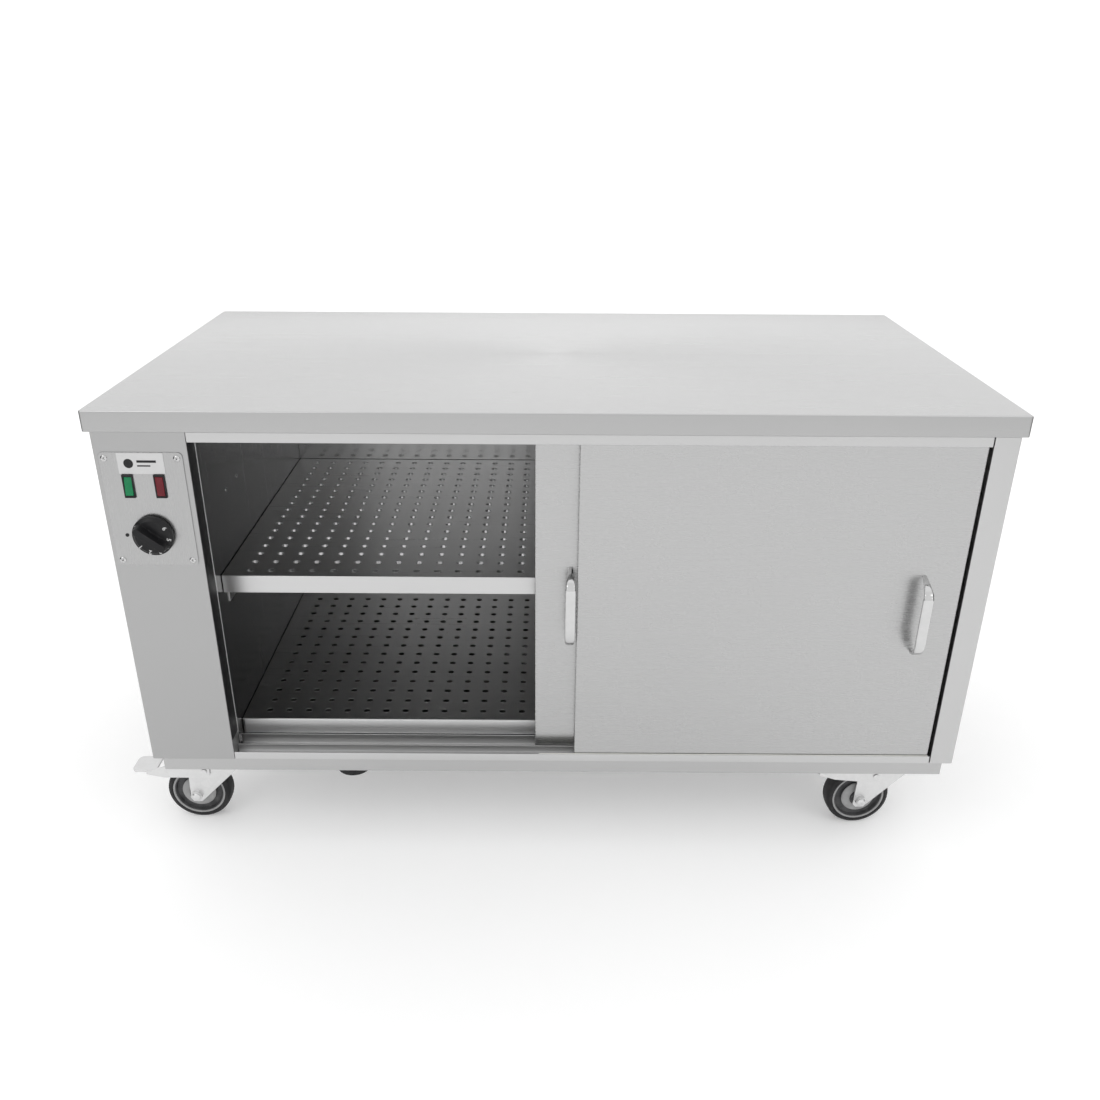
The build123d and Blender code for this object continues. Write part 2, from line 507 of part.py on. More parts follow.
# ---------------------------------------------------------------- doors
DOORS = {
    "right_door": (RIGHT_DOOR_LEFT, RIGHT_DOOR_DEPTH, RIGHT_HANDLE_X),
    "left_door": (LEFT_DOOR_LEFT, LEFT_DOOR_DEPTH, LEFT_HANDLE_X),
}
for door_name, (left, depth, handle_x) in DOORS.items():
    right = left + DOOR_WIDTH
    rear = depth + DOOR_THICK
    with BuildPart() as skin:
        block(left, right, depth, rear, DOOR_BOTTOM, DOOR_TOP)
        fillet(skin.edges().filter_by(Axis.Z).group_by(Axis.Y)[0], 1.6)
        block(left + DOOR_SKIN, right - DOOR_SKIN, depth + DOOR_SKIN, rear,
              DOOR_BOTTOM + DOOR_SKIN, DOOR_TOP - DOOR_SKIN, mode=Mode.SUBTRACT)
    save(skin, f"{door_name}_skin")

    with BuildPart() as liner:
        inset = DOOR_SKIN + 0.3
        block(left + inset, right - inset, rear - DOOR_SKIN, rear,
              DOOR_BOTTOM + inset, DOOR_TOP - inset)
        for x in (left + 90.0, right - 90.0 - 30.0):
            block(x, x + 30.0, depth + DOOR_SKIN, rear - DOOR_SKIN, DOOR_BOTTOM + inset, DOOR_TOP - inset)
    save(liner, f"{door_name}_liner")

    with BuildPart() as glides:
        for x in (left + 30.0, right - 60.0):
            block(x, x + 30.0, depth + 3, rear - 3, 165.0, DOOR_BOTTOM)
            block(x, x + 30.0, depth + 3, rear - 3, DOOR_TOP, 659.8)
    save(glides, f"{door_name}_glides")

    with BuildPart() as handle:
        reach = depth - HANDLE_REACH
        slope = 17.0
        outline = [(depth, HANDLE_LOW), (reach + 3.0, HANDLE_LOW + slope - 3.5),
                   (reach, HANDLE_LOW + slope + 3.0), (reach, HANDLE_HIGH - slope - 1.0),
                   (depth - 4.0, HANDLE_HIGH), (depth, HANDLE_HIGH),
                   (depth, HANDLE_HIGH - 10.0), (reach + HANDLE_BAR, HANDLE_HIGH - slope - 5.5),
                   (reach + HANDLE_BAR, HANDLE_LOW + slope + 5.5), (depth, HANDLE_LOW + 10.0)]
        run_x(outline, handle_x - HANDLE_WIDTH / 2, handle_x + HANDLE_WIDTH / 2)
        front_band = handle.edges().filter_by(Axis.Z).group_by(Axis.Y)[0]
        fillet(front_band, 2.0)
    save(handle, f"{door_name}_handle")

# ---------------------------------------------------------------- castors
CASTORS = {
    "front_left": (-CASTOR_X, CASTOR_DEPTH_FRONT, 0.0, True),
    "front_right": (CASTOR_X, CASTOR_DEPTH_FRONT, 4.5, True),
    "rear_left": (-CASTOR_X, CASTOR_DEPTH_REAR, 0.0, False),
    "rear_right": (CASTOR_X, CASTOR_DEPTH_REAR, 0.0, False),
}
HALF_WHEEL = WHEEL_WIDTH / 2
AXLE_BORE = AXLE_RADIUS + RUNNING
LEG_OUTER = LEG_INNER + LEG_THICK


def frame_of(corner):
    """Frame on the castor's swivel axis at floor level, turned as the castor stands."""
    x, depth, turn, _ = CASTORS[corner]
    return Location((x, y_at(depth), 0), turn)


def upright_face(y):
    """Local plane facing -Y at this local Y, with X along the castor and Y up."""
    return Plane(origin=(0, y, 0), x_dir=(1, 0, 0), z_dir=(0, -1, 0))


with BuildPart() as castor_plates:
    for corner in CASTORS:
        x, depth, _, _ = CASTORS[corner]
        with Locations((x, y_at(depth), PLINTH_BOTTOM - 1.75)):
            Box(96.0, 80.0, 3.5)
        rod_z(x, depth, 30.0, 124.5, 129.0)
        rod_z(x, depth, 26.0, 129.0, PLINTH_BOTTOM - 3.5)
        rod_z(x, depth, KINGPIN_RADIUS, 114.0, 124.5)
        rod_z(x, depth, 9.0, 114.0, 120.4)
        with Locations((x, y_at(depth), PLINTH_BOTTOM - 1.75)):
            with GridLocations(74.0, 58.0, 2, 2):
                Cylinder(4.2, 3.5, mode=Mode.SUBTRACT)
    fillet(castor_plates.edges().filter_by(Axis.Z).filter_by(
        lambda e: abs(e.length - 3.5) < 0.01 and e.geom_type == GeomType.LINE), 6.0)
save(castor_plates, "castor_plates")

with BuildPart() as castor_bolts:
    for corner in CASTORS:
        x, depth, _, _ = CASTORS[corner]
        for dx in (-37.0, 37.0):
            for dy in (-29.0, 29.0):
                with BuildSketch(Plane.XY.offset(PLINTH_BOTTOM - 3.5)):
                    with Locations((x + dx, y_at(depth + dy))):
                        RegularPolygon(7.2, 6)
                extrude(amount=-5.0)
                rod_z(x + dx, depth + dy, 3.9, PLINTH_BOTTOM - 3.5, 154.0)
                with BuildSketch(Plane.XY.offset(PLINTH_BOTTOM + SHEET)):
                    with Locations((x + dx, y_at(depth + dy))):
                        RegularPolygon(7.2, 6)
                extrude(amount=6.0)
save(castor_bolts, "castor_bolts")

LEG = [(28.0, CROWN_TOP), (28.0, 97.0), (-TRAIL + 12.0, 43.0), (-TRAIL + 6.0, 37.5), (-TRAIL - 6.0, 37.5),
       (-TRAIL - 10.5, 43.0), (-47.0, 84.0), (-47.0, CROWN_TOP)]

for corner in CASTORS:
    with BuildPart() as fork_shape:
        for y in (-LEG_INNER, LEG_OUTER):
            with BuildSketch(upright_face(y)):
                with BuildLine():
                    Polyline(*LEG, close=True)
                make_face()
                with Locations((-TRAIL, WHEEL_RADIUS)):
                    Circle(AXLE_RADIUS + 0.1, mode=Mode.SUBTRACT)
            extrude(amount=LEG_THICK)
        with Locations((-9.5, 0, CROWN_TOP - 1.5)):
            Box(75.0, 2 * LEG_OUTER, 3.0)
        top_edges = fork_shape.faces().sort_by(Axis.Z)[-1].edges().filter_by(Axis.X)
        fillet(top_edges, 2.5)
        with Locations((0, 0, CROWN_TOP - 1.5)):
            Cylinder(KINGPIN_RADIUS + RUNNING, 3.0, mode=Mode.SUBTRACT)
        if CASTORS[corner][3]:
            for inner, outer, radius in ((LEG_INNER, 27.5, 2.5), (26.3, 27.8, 4.2)):
                for near, far in ((inner, outer), (-outer, -inner)):
                    with BuildSketch(upright_face(far)):
                        with Locations(PEDAL_PIVOT):
                            Circle(radius)
                    extrude(amount=far - near)
    with BuildPart() as axle_shape:
        with BuildSketch(upright_face(30.0)):
            with Locations((-TRAIL, WHEEL_RADIUS)):
                Circle(AXLE_RADIUS)
        extrude(amount=60.0)
        for y in (LEG_OUTER + 6.0, -LEG_OUTER):
            with BuildSketch(upright_face(y)):
                with Locations((-TRAIL, WHEEL_RADIUS)):
                    RegularPolygon(9.2, 6)
            extrude(amount=6.0)
    with BuildPart() as fork:
        add(fork_shape.part.moved(frame_of(corner)))
        add(axle_shape.part.moved(frame_of(corner)))
    save(fork, f"castor_{corner}_fork")

    with BuildPart() as hub_shape:
        with BuildSketch(Plane.XY):
            with BuildLine():
                Polyline((AXLE_BORE, -18.5), (13.0, -18.5), (14.0, -14.5), (23.5, -13.0), (25.0, -7.0),
                         (35.5, -7.0), (37.0, -12.8), (RIM_RADIUS, -12.8), (RIM_RADIUS, 12.8),
                         (37.0, 12.8), (35.5, 7.0), (25.0, 7.0), (23.5, 13.0), (14.0, 14.5),
                         (13.0, 18.5), (AXLE_BORE, 18.5), close=True)
            make_face()
        revolve(axis=Axis.Y)
    with BuildPart() as hub:
        add(hub_shape.part.moved(frame_of(corner) * Location((-TRAIL, 0, WHEEL_RADIUS))))
    save(hub, f"castor_{corner}_hub")

    with BuildPart() as tyre_shape:
        with BuildSketch(Plane.XY):
            with BuildLine():
                Polyline((RIM_RADIUS, -13.5), (WHEEL_RADIUS - 4.5, -HALF_WHEEL), (WHEEL_RADIUS - 1.2, -11.6),
                         (WHEEL_RADIUS, -7.5), (WHEEL_RADIUS, 7.5), (WHEEL_RADIUS - 1.2, 11.6),
                         (WHEEL_RADIUS - 4.5, HALF_WHEEL), (RIM_RADIUS, 13.5), close=True)
            make_face()
        revolve(axis=Axis.Y)
    with BuildPart() as tyre:
        add(tyre_shape.part.moved(frame_of(corner) * Location((-TRAIL, 0, WHEEL_RADIUS))))
    save(tyre, f"castor_{corner}_tyre")

    if not CASTORS[corner][3]:
        continue
    pivot_x, pivot_z = PEDAL_PIVOT
    arm_outer = PEDAL_ARM_INNER + PEDAL_ARM_THICK
    with BuildPart() as pedal_shape:
        for y in (-PEDAL_ARM_INNER, arm_outer):
            with BuildSketch(upright_face(y)):
                with BuildLine():
                    Polyline((-12.0, 104.0), (-12.0, 90.0), (-20.0, 85.0), (-84.0, 85.0), (-110.0, 90.5),
                             (-110.0, 97.0), (-66.0, 110.0), (-18.0, 110.0), close=True)
                make_face()
            extrude(amount=PEDAL_ARM_THICK)
            with BuildSketch(upright_face(y)):
                with Locations(PEDAL_PIVOT):
                    Circle(2.5 + RUNNING)
            extrude(amount=PEDAL_ARM_THICK, mode=Mode.SUBTRACT)
        with Locations((-104.5, 0, 92.2)):
            Box(13.0, 2 * arm_outer, 3.0)
        with Locations((-58.0, 0, 107.5)):
            Box(12.0, 2 * arm_outer, 4.0)
        with Locations((-122.5, 0, 92.2)):
            Box(27.0, 40.0, 3.0)
        tip = pedal_shape.edges().filter_by(Axis.Z).group_by(Axis.X)[0]
        fillet(tip, 9.0)
    with BuildPart() as pedal:
        lifted = (Location((pivot_x, 0, pivot_z)) * Location((0, 0, 0), (0, PEDAL_LIFT[corner], 0))
                  * Location((-pivot_x, 0, -pivot_z)))
        add(pedal_shape.part.moved(frame_of(corner) * lifted))
    save(pedal, f"castor_{corner}_pedal")
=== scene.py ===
"""Looks of a low heated food holding cabinet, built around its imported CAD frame.

The cabinet's sheet-metal parts are carried over from the frame with their edges rounded, the small
repeated fittings come from Geometry Nodes, and every surface gets a procedural finish.
"""

import json
import logging
import math
from dataclasses import dataclass, field
from enum import Enum
from typing import Any, ClassVar, Iterable, Optional, Sequence

import bmesh
import bpy
from mathutils import Matrix, Vector

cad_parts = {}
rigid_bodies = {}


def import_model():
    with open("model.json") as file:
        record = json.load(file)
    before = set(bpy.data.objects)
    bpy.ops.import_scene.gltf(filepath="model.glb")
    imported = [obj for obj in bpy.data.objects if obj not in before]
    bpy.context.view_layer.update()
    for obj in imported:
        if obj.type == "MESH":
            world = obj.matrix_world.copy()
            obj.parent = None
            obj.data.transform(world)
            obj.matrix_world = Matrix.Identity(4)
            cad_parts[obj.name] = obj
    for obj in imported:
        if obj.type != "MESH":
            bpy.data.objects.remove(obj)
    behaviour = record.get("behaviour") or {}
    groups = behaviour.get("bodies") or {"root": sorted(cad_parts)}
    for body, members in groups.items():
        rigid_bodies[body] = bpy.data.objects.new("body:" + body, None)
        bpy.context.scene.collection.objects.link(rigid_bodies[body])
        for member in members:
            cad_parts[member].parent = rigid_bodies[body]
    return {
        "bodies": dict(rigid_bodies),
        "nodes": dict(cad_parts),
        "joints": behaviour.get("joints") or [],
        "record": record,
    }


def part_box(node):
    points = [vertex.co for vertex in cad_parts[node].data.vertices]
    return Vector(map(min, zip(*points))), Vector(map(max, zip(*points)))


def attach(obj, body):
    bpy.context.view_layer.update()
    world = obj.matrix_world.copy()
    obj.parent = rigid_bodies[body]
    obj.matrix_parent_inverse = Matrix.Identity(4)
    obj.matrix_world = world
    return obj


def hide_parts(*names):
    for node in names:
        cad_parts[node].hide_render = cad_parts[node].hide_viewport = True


LOG = logging.getLogger("holding_cabinet")
MM = 0.001
HALF_DEPTH = 325.0
MERGE_DISTANCE = 2e-6  # metres between two points that are one corner
FLAT_BEND = 0.4  # degrees between two faces that are one plane
HEAD_BEND = 35.0  # degrees at which a fastener head's edge stays sharp
RING_BEND = 38.0  # the same for a turned ring
HANDLE_BEND = 40.0  # the same for a door handle

Socket = bpy.types.NodeSocket
Object = bpy.types.Object
Mesh = bpy.types.Mesh
Shape = bmesh.types.BMesh
Material = bpy.types.Material
Colour = tuple[float, float, float]


def at(x: float, depth: float, z: float) -> Vector:
    """A point in the frame.

    Args:
        x: Millimetres to the right of the worktop's middle.
        depth: Millimetres behind the worktop's front edge.
        z: Millimetres above the floor.

    Returns:
        The point in metres.
    """
    return Vector((x, depth - HALF_DEPTH, z)) * MM


def linked(name: str, data: Any) -> Object:
    """Puts mesh, curve, lamp or camera data in the scene as an object at the origin.

    Args:
        name: The object's name.
        data: The mesh, curve, lamp or camera data.

    Returns:
        The object.
    """
    made = bpy.data.objects.new(name, data)
    bpy.context.scene.collection.objects.link(made)
    return made


def frozen(shape: Shape, name: str, sharp: Optional[float] = None) -> Mesh:
    """Turns a shape into a mesh and frees the shape.

    Args:
        shape: The shape.
        name: The mesh's name.
        sharp: Degrees at which an edge stays sharp on a smooth mesh; None leaves it flat.

    Returns:
        The mesh.
    """
    mesh = bpy.data.meshes.new(name)
    shape.to_mesh(mesh)
    shape.free()
    if sharp is not None:
        shade(mesh, sharp)
    return mesh


def shade(mesh: Mesh, sharp: float) -> None:
    """Shades a mesh smooth, but for edges that bend more than so many degrees."""
    mesh.shade_smooth()
    mesh.set_sharp_from_angle(angle=math.radians(sharp))


def add_block(shape: Shape, matrix: Matrix) -> None:
    """Adds a one-metre block, put through a matrix, to a shape."""
    made = bmesh.ops.create_cube(shape, size=1.0)
    bmesh.ops.transform(shape, matrix=matrix, verts=made["verts"])


# ---------------------------------------------------------------- finishes


class Slot(str, Enum):
    """The finish slots that the cabinet's record names."""

    WORKTOP = "worktop_steel"
    BODY = "body_steel"
    DOOR = "door_steel"
    PLINTH = "plinth_steel"
    PLATE = "plate_steel"
    LINER = "liner_steel"
    SHELF = "shelf_steel"
    BOARD = "core_board"
    WOOL = "mineral_wool"
    SHEATH = "element_sheath"
    FASTENER = "fastener_steel"
    LABEL = "label_white"
    BLACK = "black_plastic"
    KNOB = "knob_black"
    GREEN = "green_lens"
    RED = "red_lens"
    COPPER = "copper_tube"
    NYLON = "nylon_white"
    CHROME = "handle_chrome"
    ZINC = "zinc_plate"
    WHEEL = "wheel_centre"
    RUBBER = "tyre_rubber"


def grey(tone: float) -> Colour:
    """A colour without hue."""
    return tone, tone, tone


def toned(colour: Colour, factor: float) -> Colour:
    """A colour made darker or brighter by a factor."""
    return tuple(min(1.0, c * factor) for c in colour)


def blended(colour: Colour, other: Colour, share: float) -> Colour:
    """A colour with a share of another in it."""
    return tuple(c + (o - c) * share for c, o in zip(colour, other))


class Grain(Enum):
    """The axis along which a sheet was brushed or rolled, by its index."""

    ALONG_X = 0
    ALONG_Z = 2


class ShaderSheet:
    """A material's node tree while it is being wired.

    Attributes:
        FLAT_COSINE: Cosine between the true and the rounded normal where the edge colour begins; it
            is a painted highlight on metals and scuffs on plastics.
        EDGE_COSINE: The same where the edge colour is full.
    """

    FLAT_COSINE = 0.995
    EDGE_COSINE = 0.8

    def __init__(self, name: str) -> None:
        """Starts the tree.

        Args:
            name: The material's name.
        """
        self.material: Material = bpy.data.materials.new(name)
        self.material.use_nodes = True
        self.tree = self.material.node_tree
        self.surface = self.tree.nodes["Principled BSDF"]
        self.place = self.tree.nodes.new("ShaderNodeTexCoord").outputs["Object"]

    def fixed(self, **values: Any) -> None:
        """Sets sockets of the surface shader that are the same all over.

        Args:
            **values: Socket names, with an underscore for a space, and their values.
        """
        for name, value in values.items():
            self.surface.inputs[name.replace("_", " ")].default_value = value

    def drive(self, name: str, source: Socket) -> None:
        """Links a varying value to one of the surface shader's sockets."""
        self.tree.links.new(source, self.surface.inputs[name])

    def node(self, kind: str, **settings: Any) -> bpy.types.Node:
        """A new node with its settings.

        Args:
            kind: The node's type.
            **settings: Attributes of the node and their values.

        Returns:
            The node.
        """
        made = self.tree.nodes.new(kind)
        for name, value in settings.items():
            setattr(made, name, value)
        return made

    def stretched(self, scale: Sequence[float], turn: Sequence[float] = (0, 0, 0)) -> Socket:
        """Object coordinates, scaled and turned.

        Args:
            scale: Pattern repeats per metre along each axis.
            turn: Angles in radians about each axis.

        Returns:
            The coordinate socket.
        """
        mapping = self.node("ShaderNodeMapping")
        self.tree.links.new(self.place, mapping.inputs["Vector"])
        mapping.inputs["Scale"].default_value = scale
        mapping.inputs["Rotation"].default_value = turn
        return mapping.outputs["Vector"]

    def noise(self, where: Socket, scale: float = 1.0, detail: float = 2.0,
              rough: float = 0.5, warp: float = 0.0) -> Socket:
        """Fractal noise between 0 and 1.

        Args:
            where: The coordinates.
            scale: Repeats per unit of the coordinates.
            detail: Octaves.
            rough: Weight of the finer octaves.
            warp: Distortion.

        Returns:
            The factor socket.
        """
        made = self.node("ShaderNodeTexNoise")
        self.tree.links.new(where, made.inputs["Vector"])
        for name, value in (("Scale", scale), ("Detail", detail), ("Roughness", rough),
                            ("Distortion", warp)):
            made.inputs[name].default_value = value
        return made.outputs[0]

    def cells(self, where: Socket, scale: float) -> Socket:
        """Distance to the nearest of many scattered points.

        Args:
            where: The coordinates.
            scale: Points per unit of the coordinates.

        Returns:
            The distance socket.
        """
        made = self.node("ShaderNodeTexVoronoi")
        self.tree.links.new(where, made.inputs["Vector"])
        made.inputs["Scale"].default_value = scale
        return made.outputs["Distance"]

    def spread(self, value: Socket, low_in: float, high_in: float,
               low_out: float, high_out: float) -> Socket:
        """Maps one range onto another, clamped.

        Args:
            value: The input.
            low_in: Input that gives low_out.
            high_in: Input that gives high_out.
            low_out: Output at low_in.
            high_out: Output at high_in.

        Returns:
            The mapped value.
        """
        made = self.node("ShaderNodeMapRange")
        self.tree.links.new(value, made.inputs["Value"])
        for name, number in (("From Min", low_in), ("From Max", high_in),
                             ("To Min", low_out), ("To Max", high_out)):
            made.inputs[name].default_value = number
        return made.outputs["Result"]

    def maths(self, kind: str, first: Socket, second: Socket | float) -> Socket:
        """One arithmetic step between two values.

        Args:
            kind: The operation.
            first: The first value.
            second: The second value, linked or fixed.

        Returns:
            The result.
        """
        made = self.node("ShaderNodeMath", operation=kind)
        self.tree.links.new(first, made.inputs[0])
        if isinstance(second, (int, float)):
            made.inputs[1].default_value = second
        else:
            self.tree.links.new(second, made.inputs[1])
        return made.outputs[0]

    def tinted(self, factor: Socket, dark: Colour, light: Colour) -> Socket:
        """A colour between two colours.

        Args:
            factor: 0 for the dark colour and 1 for the light one.
            dark: RGB.
            light: RGB.

        Returns:
            The colour socket.
        """
        made = self.node("ShaderNodeMix", data_type="RGBA")
        self.tree.links.new(factor, made.inputs[0])
        made.inputs[6].default_value = (*dark, 1.0)
        made.inputs[7].default_value = (*light, 1.0)
        return made.outputs[2]

    def recoloured(self, factor: Socket, under: Socket, over: Colour) -> Socket:
        """A colour laid over a varying one where factor is high.

        Args:
            factor: Share of the upper colour.
            under: The varying colour.
            over: The colour laid over it.

        Returns:
            The colour socket.
        """
        made = self.node("ShaderNodeMix", data_type="RGBA")
        self.tree.links.new(factor, made.inputs[0])
        self.tree.links.new(under, made.inputs[6])
        made.inputs[7].default_value = (*over, 1.0)
        return made.outputs[2]

    def worn_edge(self, radius: float) -> tuple[Socket, Socket]:
        """A mask that is high on sharp edges, for scuffs on plastics and a painted highlight on
        metals, and the normal rounded over them.

        Args:
            radius: Reach of the mask from an edge, in metres.

        Returns:
            The mask and the rounded normal.
        """
        bevel = self.node("ShaderNodeBevel", samples=4)
        bevel.inputs["Radius"].default_value = radius
        true_normal = self.node("ShaderNodeNewGeometry").outputs["Normal"]
        product = self.node("ShaderNodeVectorMath", operation="DOT_PRODUCT")
        self.tree.links.new(bevel.outputs[0], product.inputs[0])
        self.tree.links.new(true_normal, product.inputs[1])
        mask = self.spread(product.outputs["Value"], self.FLAT_COSINE, self.EDGE_COSINE, 0.0, 1.0)
        return mask, bevel.outputs[0]

    def colour(self, plain: Socket, at_edges: Colour, reach: float,
               share: float = 1.0) -> Socket:
        """Drives the base colour, with another colour on the sharp edges: a painted highlight on
        metals, scuffs on plastics.

        Args:
            plain: The colour away from the edges.
            at_edges: The colour on them.
            reach: How far the edge colour reaches from an edge, in metres.
            share: How much of the edge colour shows.

        Returns:
            The normal rounded over the edges.
        """
        edge, rounded = self.worn_edge(reach)
        self.drive("Base Color", self.recoloured(self.maths("MULTIPLY", edge, share), plain,
                                                 at_edges))
        return rounded

    def relief(self, height: Socket, strength: float, depth: float,
               base: Optional[Socket] = None) -> None:
        """Bumps the surface.

        Args:
            height: The height pattern.
            strength: Share of the full bump.
            depth: Height of the pattern in metres.
            base: The normal it starts from.
        """
        bump = self.node("ShaderNodeBump")
        bump.inputs["Strength"].default_value = strength
        bump.inputs["Distance"].default_value = depth
        self.tree.links.new(height, bump.inputs["Height"])
        if base is not None:
            self.tree.links.new(base, bump.inputs["Normal"])
        self.drive("Normal", bump.outputs[0])


@dataclass(frozen=True)
class SteelFinish:
    """Rolled or brushed stainless sheet with cloudy handling marks and a painted edge highlight.

    Attributes:
        tint: Reflected colour.
        gloss: Lowest and highest roughness.
        grain: Direction of the brush lines.
        fine: Brush lines per metre.
        depth: Height of the brush lines in metres.
        cloud: How far handling marks darken the colour.
        anisotropy: Stretch of the highlights across the grain.
        smear: How much handling marks add to the roughness.
        LINE_STRETCH: Length of a brush line, in widths of a line.
        BAND_WIDTH: Width of a band of lines, in widths of a line.
        BAND_STRETCH: Length of a band, in widths of a line.
        LINE_SHARE: Weight of the lines against the bands.
    """

    LINE_STRETCH: ClassVar[float] = 190
    BAND_WIDTH: ClassVar[float] = 7
    BAND_STRETCH: ClassVar[float] = 900
    LINE_SHARE: ClassVar[float] = 0.55

    tint: Colour
    gloss: tuple[float, float]
    grain: Grain = Grain.ALONG_X
    fine: float = 1500.0
    depth: float = 0.000004
    cloud: float = 0.05
    anisotropy: float = 0.45
    smear: float = 0.03

    def material(self, name: str) -> Material:
        """The finish as a material of that name.

        Args:
            name: The material's name.

        Returns:
            The material.
        """
        sheet = ShaderSheet(name)
        lines = sheet.noise(sheet.stretched(self.grain_scale(1, self.LINE_STRETCH)), detail=3,
                            rough=0.62)
        bands = sheet.noise(sheet.stretched(self.grain_scale(self.BAND_WIDTH,
                                                             self.BAND_STRETCH)), detail=2)
        clouds = sheet.noise(sheet.place, scale=5.0, detail=5, rough=0.55, warp=0.6)
        smears = sheet.noise(sheet.stretched((38, 11, 15), (0.4, 0.2, 0.7)), detail=4, warp=1.2)
        mixed = sheet.maths("ADD", sheet.maths("MULTIPLY", lines, self.LINE_SHARE),
                            sheet.maths("MULTIPLY", bands, 1 - self.LINE_SHARE))
        low, high = self.gloss
        base_gloss = sheet.spread(mixed, 0.3, 0.7, low, high)
        smear_gloss = sheet.spread(smears, 0.55, 0.8, 0.0, self.smear)
        sheet.drive("Roughness", sheet.maths("ADD", base_gloss, smear_gloss))
        tone = sheet.maths("ADD", sheet.maths("MULTIPLY", mixed, 0.5),
                           sheet.maths("MULTIPLY", clouds, 0.5))
        plain = sheet.tinted(sheet.spread(tone, 0.34, 0.66, 0, 1),
                             toned(self.tint, 1 - self.cloud), self.tint)
        # Lighter colour on the sharp edges: a painted edge highlight.
        rounded = sheet.colour(plain, toned(self.tint, 1.18), reach=0.0007, share=0.6)
        sheet.relief(lines, 0.35, self.depth, rounded)
        sheet.fixed(Metallic=1.0, Anisotropic=self.anisotropy, IOR=2.4)
        return sheet.material

    def grain_scale(self, width: float, length: float) -> list[float]:
        """Repeats per metre of a pattern so wide and so long, in widths of a brush line.

        Args:
            width: Width of the pattern across the grain.
            length: Its length along the grain.

        Returns:
            The scale along each axis.
        """
        scale = [self.fine / width] * 3
        scale[self.grain.value] = self.fine / length
        return scale


@dataclass(frozen=True)
class PlatedFinish:
    """Bright zinc or chrome plating with a mottled film, fine scuffs and a painted edge highlight.

    Attributes:
        tint: Reflected colour.
        gloss: Lowest and highest roughness.
        mottle: Plating blotches per metre.
        depth: Height of the unevenness in metres.
        film: How far the blotches darken the colour.
    """

    tint: Colour
    gloss: tuple[float, float]
    mottle: float = 160.0
    depth: float = 0.00004
    film: float = 0.14

    def material(self, name: str) -> Material:
        """The finish as a material of that name.

        Args:
            name: The material's name.

        Returns:
            The material.
        """
        sheet = ShaderSheet(name)
        blotch = sheet.noise(sheet.place, scale=self.mottle, detail=4, rough=0.6, warp=0.8)
        scuff = sheet.noise(sheet.stretched((900, 900, 60), (0.5, 0.3, 0.1)), detail=3)
        low, high = self.gloss
        sheet.drive("Roughness", sheet.maths(
            "ADD", sheet.spread(blotch, 0.35, 0.65, low, high),
            sheet.spread(scuff, 0.6, 0.8, 0.0, 0.12)))
        plain = sheet.tinted(sheet.spread(blotch, 0.38, 0.62, 0, 1),
                             toned(self.tint, 1 - self.film), self.tint)
        # Lighter colour on the sharp edges: a painted edge highlight.
        rounded = sheet.colour(plain, toned(self.tint, 1.15), reach=0.0008)
        sheet.relief(blotch, 0.3, self.depth, rounded)
        sheet.fixed(Metallic=1.0, IOR=2.2)
        return sheet.material


@dataclass(frozen=True)
class MouldedFinish:
    """Moulded plastic or rubber with a fine spark-eroded texture, dust and scuffed edges.

    Attributes:
        tint: Colour.
        gloss: Lowest and highest roughness.
        texture: Texture points per metre.
        depth: Height of the texture in metres.
        dust: Colour of the dust and scuffs.
        dusting: Share of the dust colour at most.
        coat: Weight of a clear gloss coat.
        specular: Strength of the surface's own reflection.
    """

    tint: Colour
    gloss: tuple[float, float]
    texture: float = 1400.0
    depth: float = 0.00006
    dust: Colour = (0.35, 0.35, 0.34)
    dusting: float = 0.06
    coat: float = 0.0
    specular: float = 0.5

    def material(self, name: str) -> Material:
        """The finish as a material of that name.

        Args:
            name: The material's name.

        Returns:
            The material.
        """
        sheet = ShaderSheet(name)
        pits = sheet.noise(sheet.place, scale=self.texture, detail=2)
        blotch = sheet.noise(sheet.place, scale=70, detail=5, rough=0.6)
        low, high = self.gloss
        sheet.drive("Roughness", sheet.spread(blotch, 0.35, 0.65, low, high))
        plain = sheet.tinted(sheet.spread(blotch, 0.4, 0.7, 0, 1), self.tint,
                             blended(self.tint, self.dust, self.dusting))
        scuffed = blended(self.tint, self.dust, min(1.0, self.dusting * 2.2))
        rounded = sheet.colour(plain, scuffed, reach=0.0006)
        sheet.relief(pits, 0.35, self.depth, rounded)
        sheet.fixed(Coat_Weight=self.coat, Coat_Roughness=0.08, Specular_IOR_Level=self.specular,
                    IOR=1.49)
        return sheet.material


@dataclass(frozen=True)
class FibreFinish:
    """Fibrous board or wool with strands and pores.

    Attributes:
        dark: Colour between the strands.
        light: Colour of the strands.
        scale: Strands per metre along each axis.
        depth: Height of the strands in metres.
    """

    dark: Colour
    light: Colour
    scale: tuple[float, float, float]
    depth: float

    def material(self, name: str) -> Material:
        """The finish as a material of that name.

        Args:
            name: The material's name.

        Returns:
            The material.
        """
        sheet = ShaderSheet(name)
        strands = sheet.noise(sheet.stretched(self.scale, (0.2, 0.1, 0.3)), detail=6, rough=0.65,
                              warp=1.5)
        pores = sheet.cells(sheet.place, scale=420)
        mixed = sheet.maths("MULTIPLY", strands, sheet.spread(pores, 0.0, 0.5, 0.7, 1.0))
        sheet.drive("Base Color", sheet.tinted(sheet.spread(mixed, 0.25, 0.6, 0, 1),
                                               self.dark, self.light))
        sheet.drive("Roughness", sheet.spread(strands, 0.3, 0.7, 0.8, 0.95))
        sheet.relief(mixed, 0.8, self.depth)
        return sheet.material


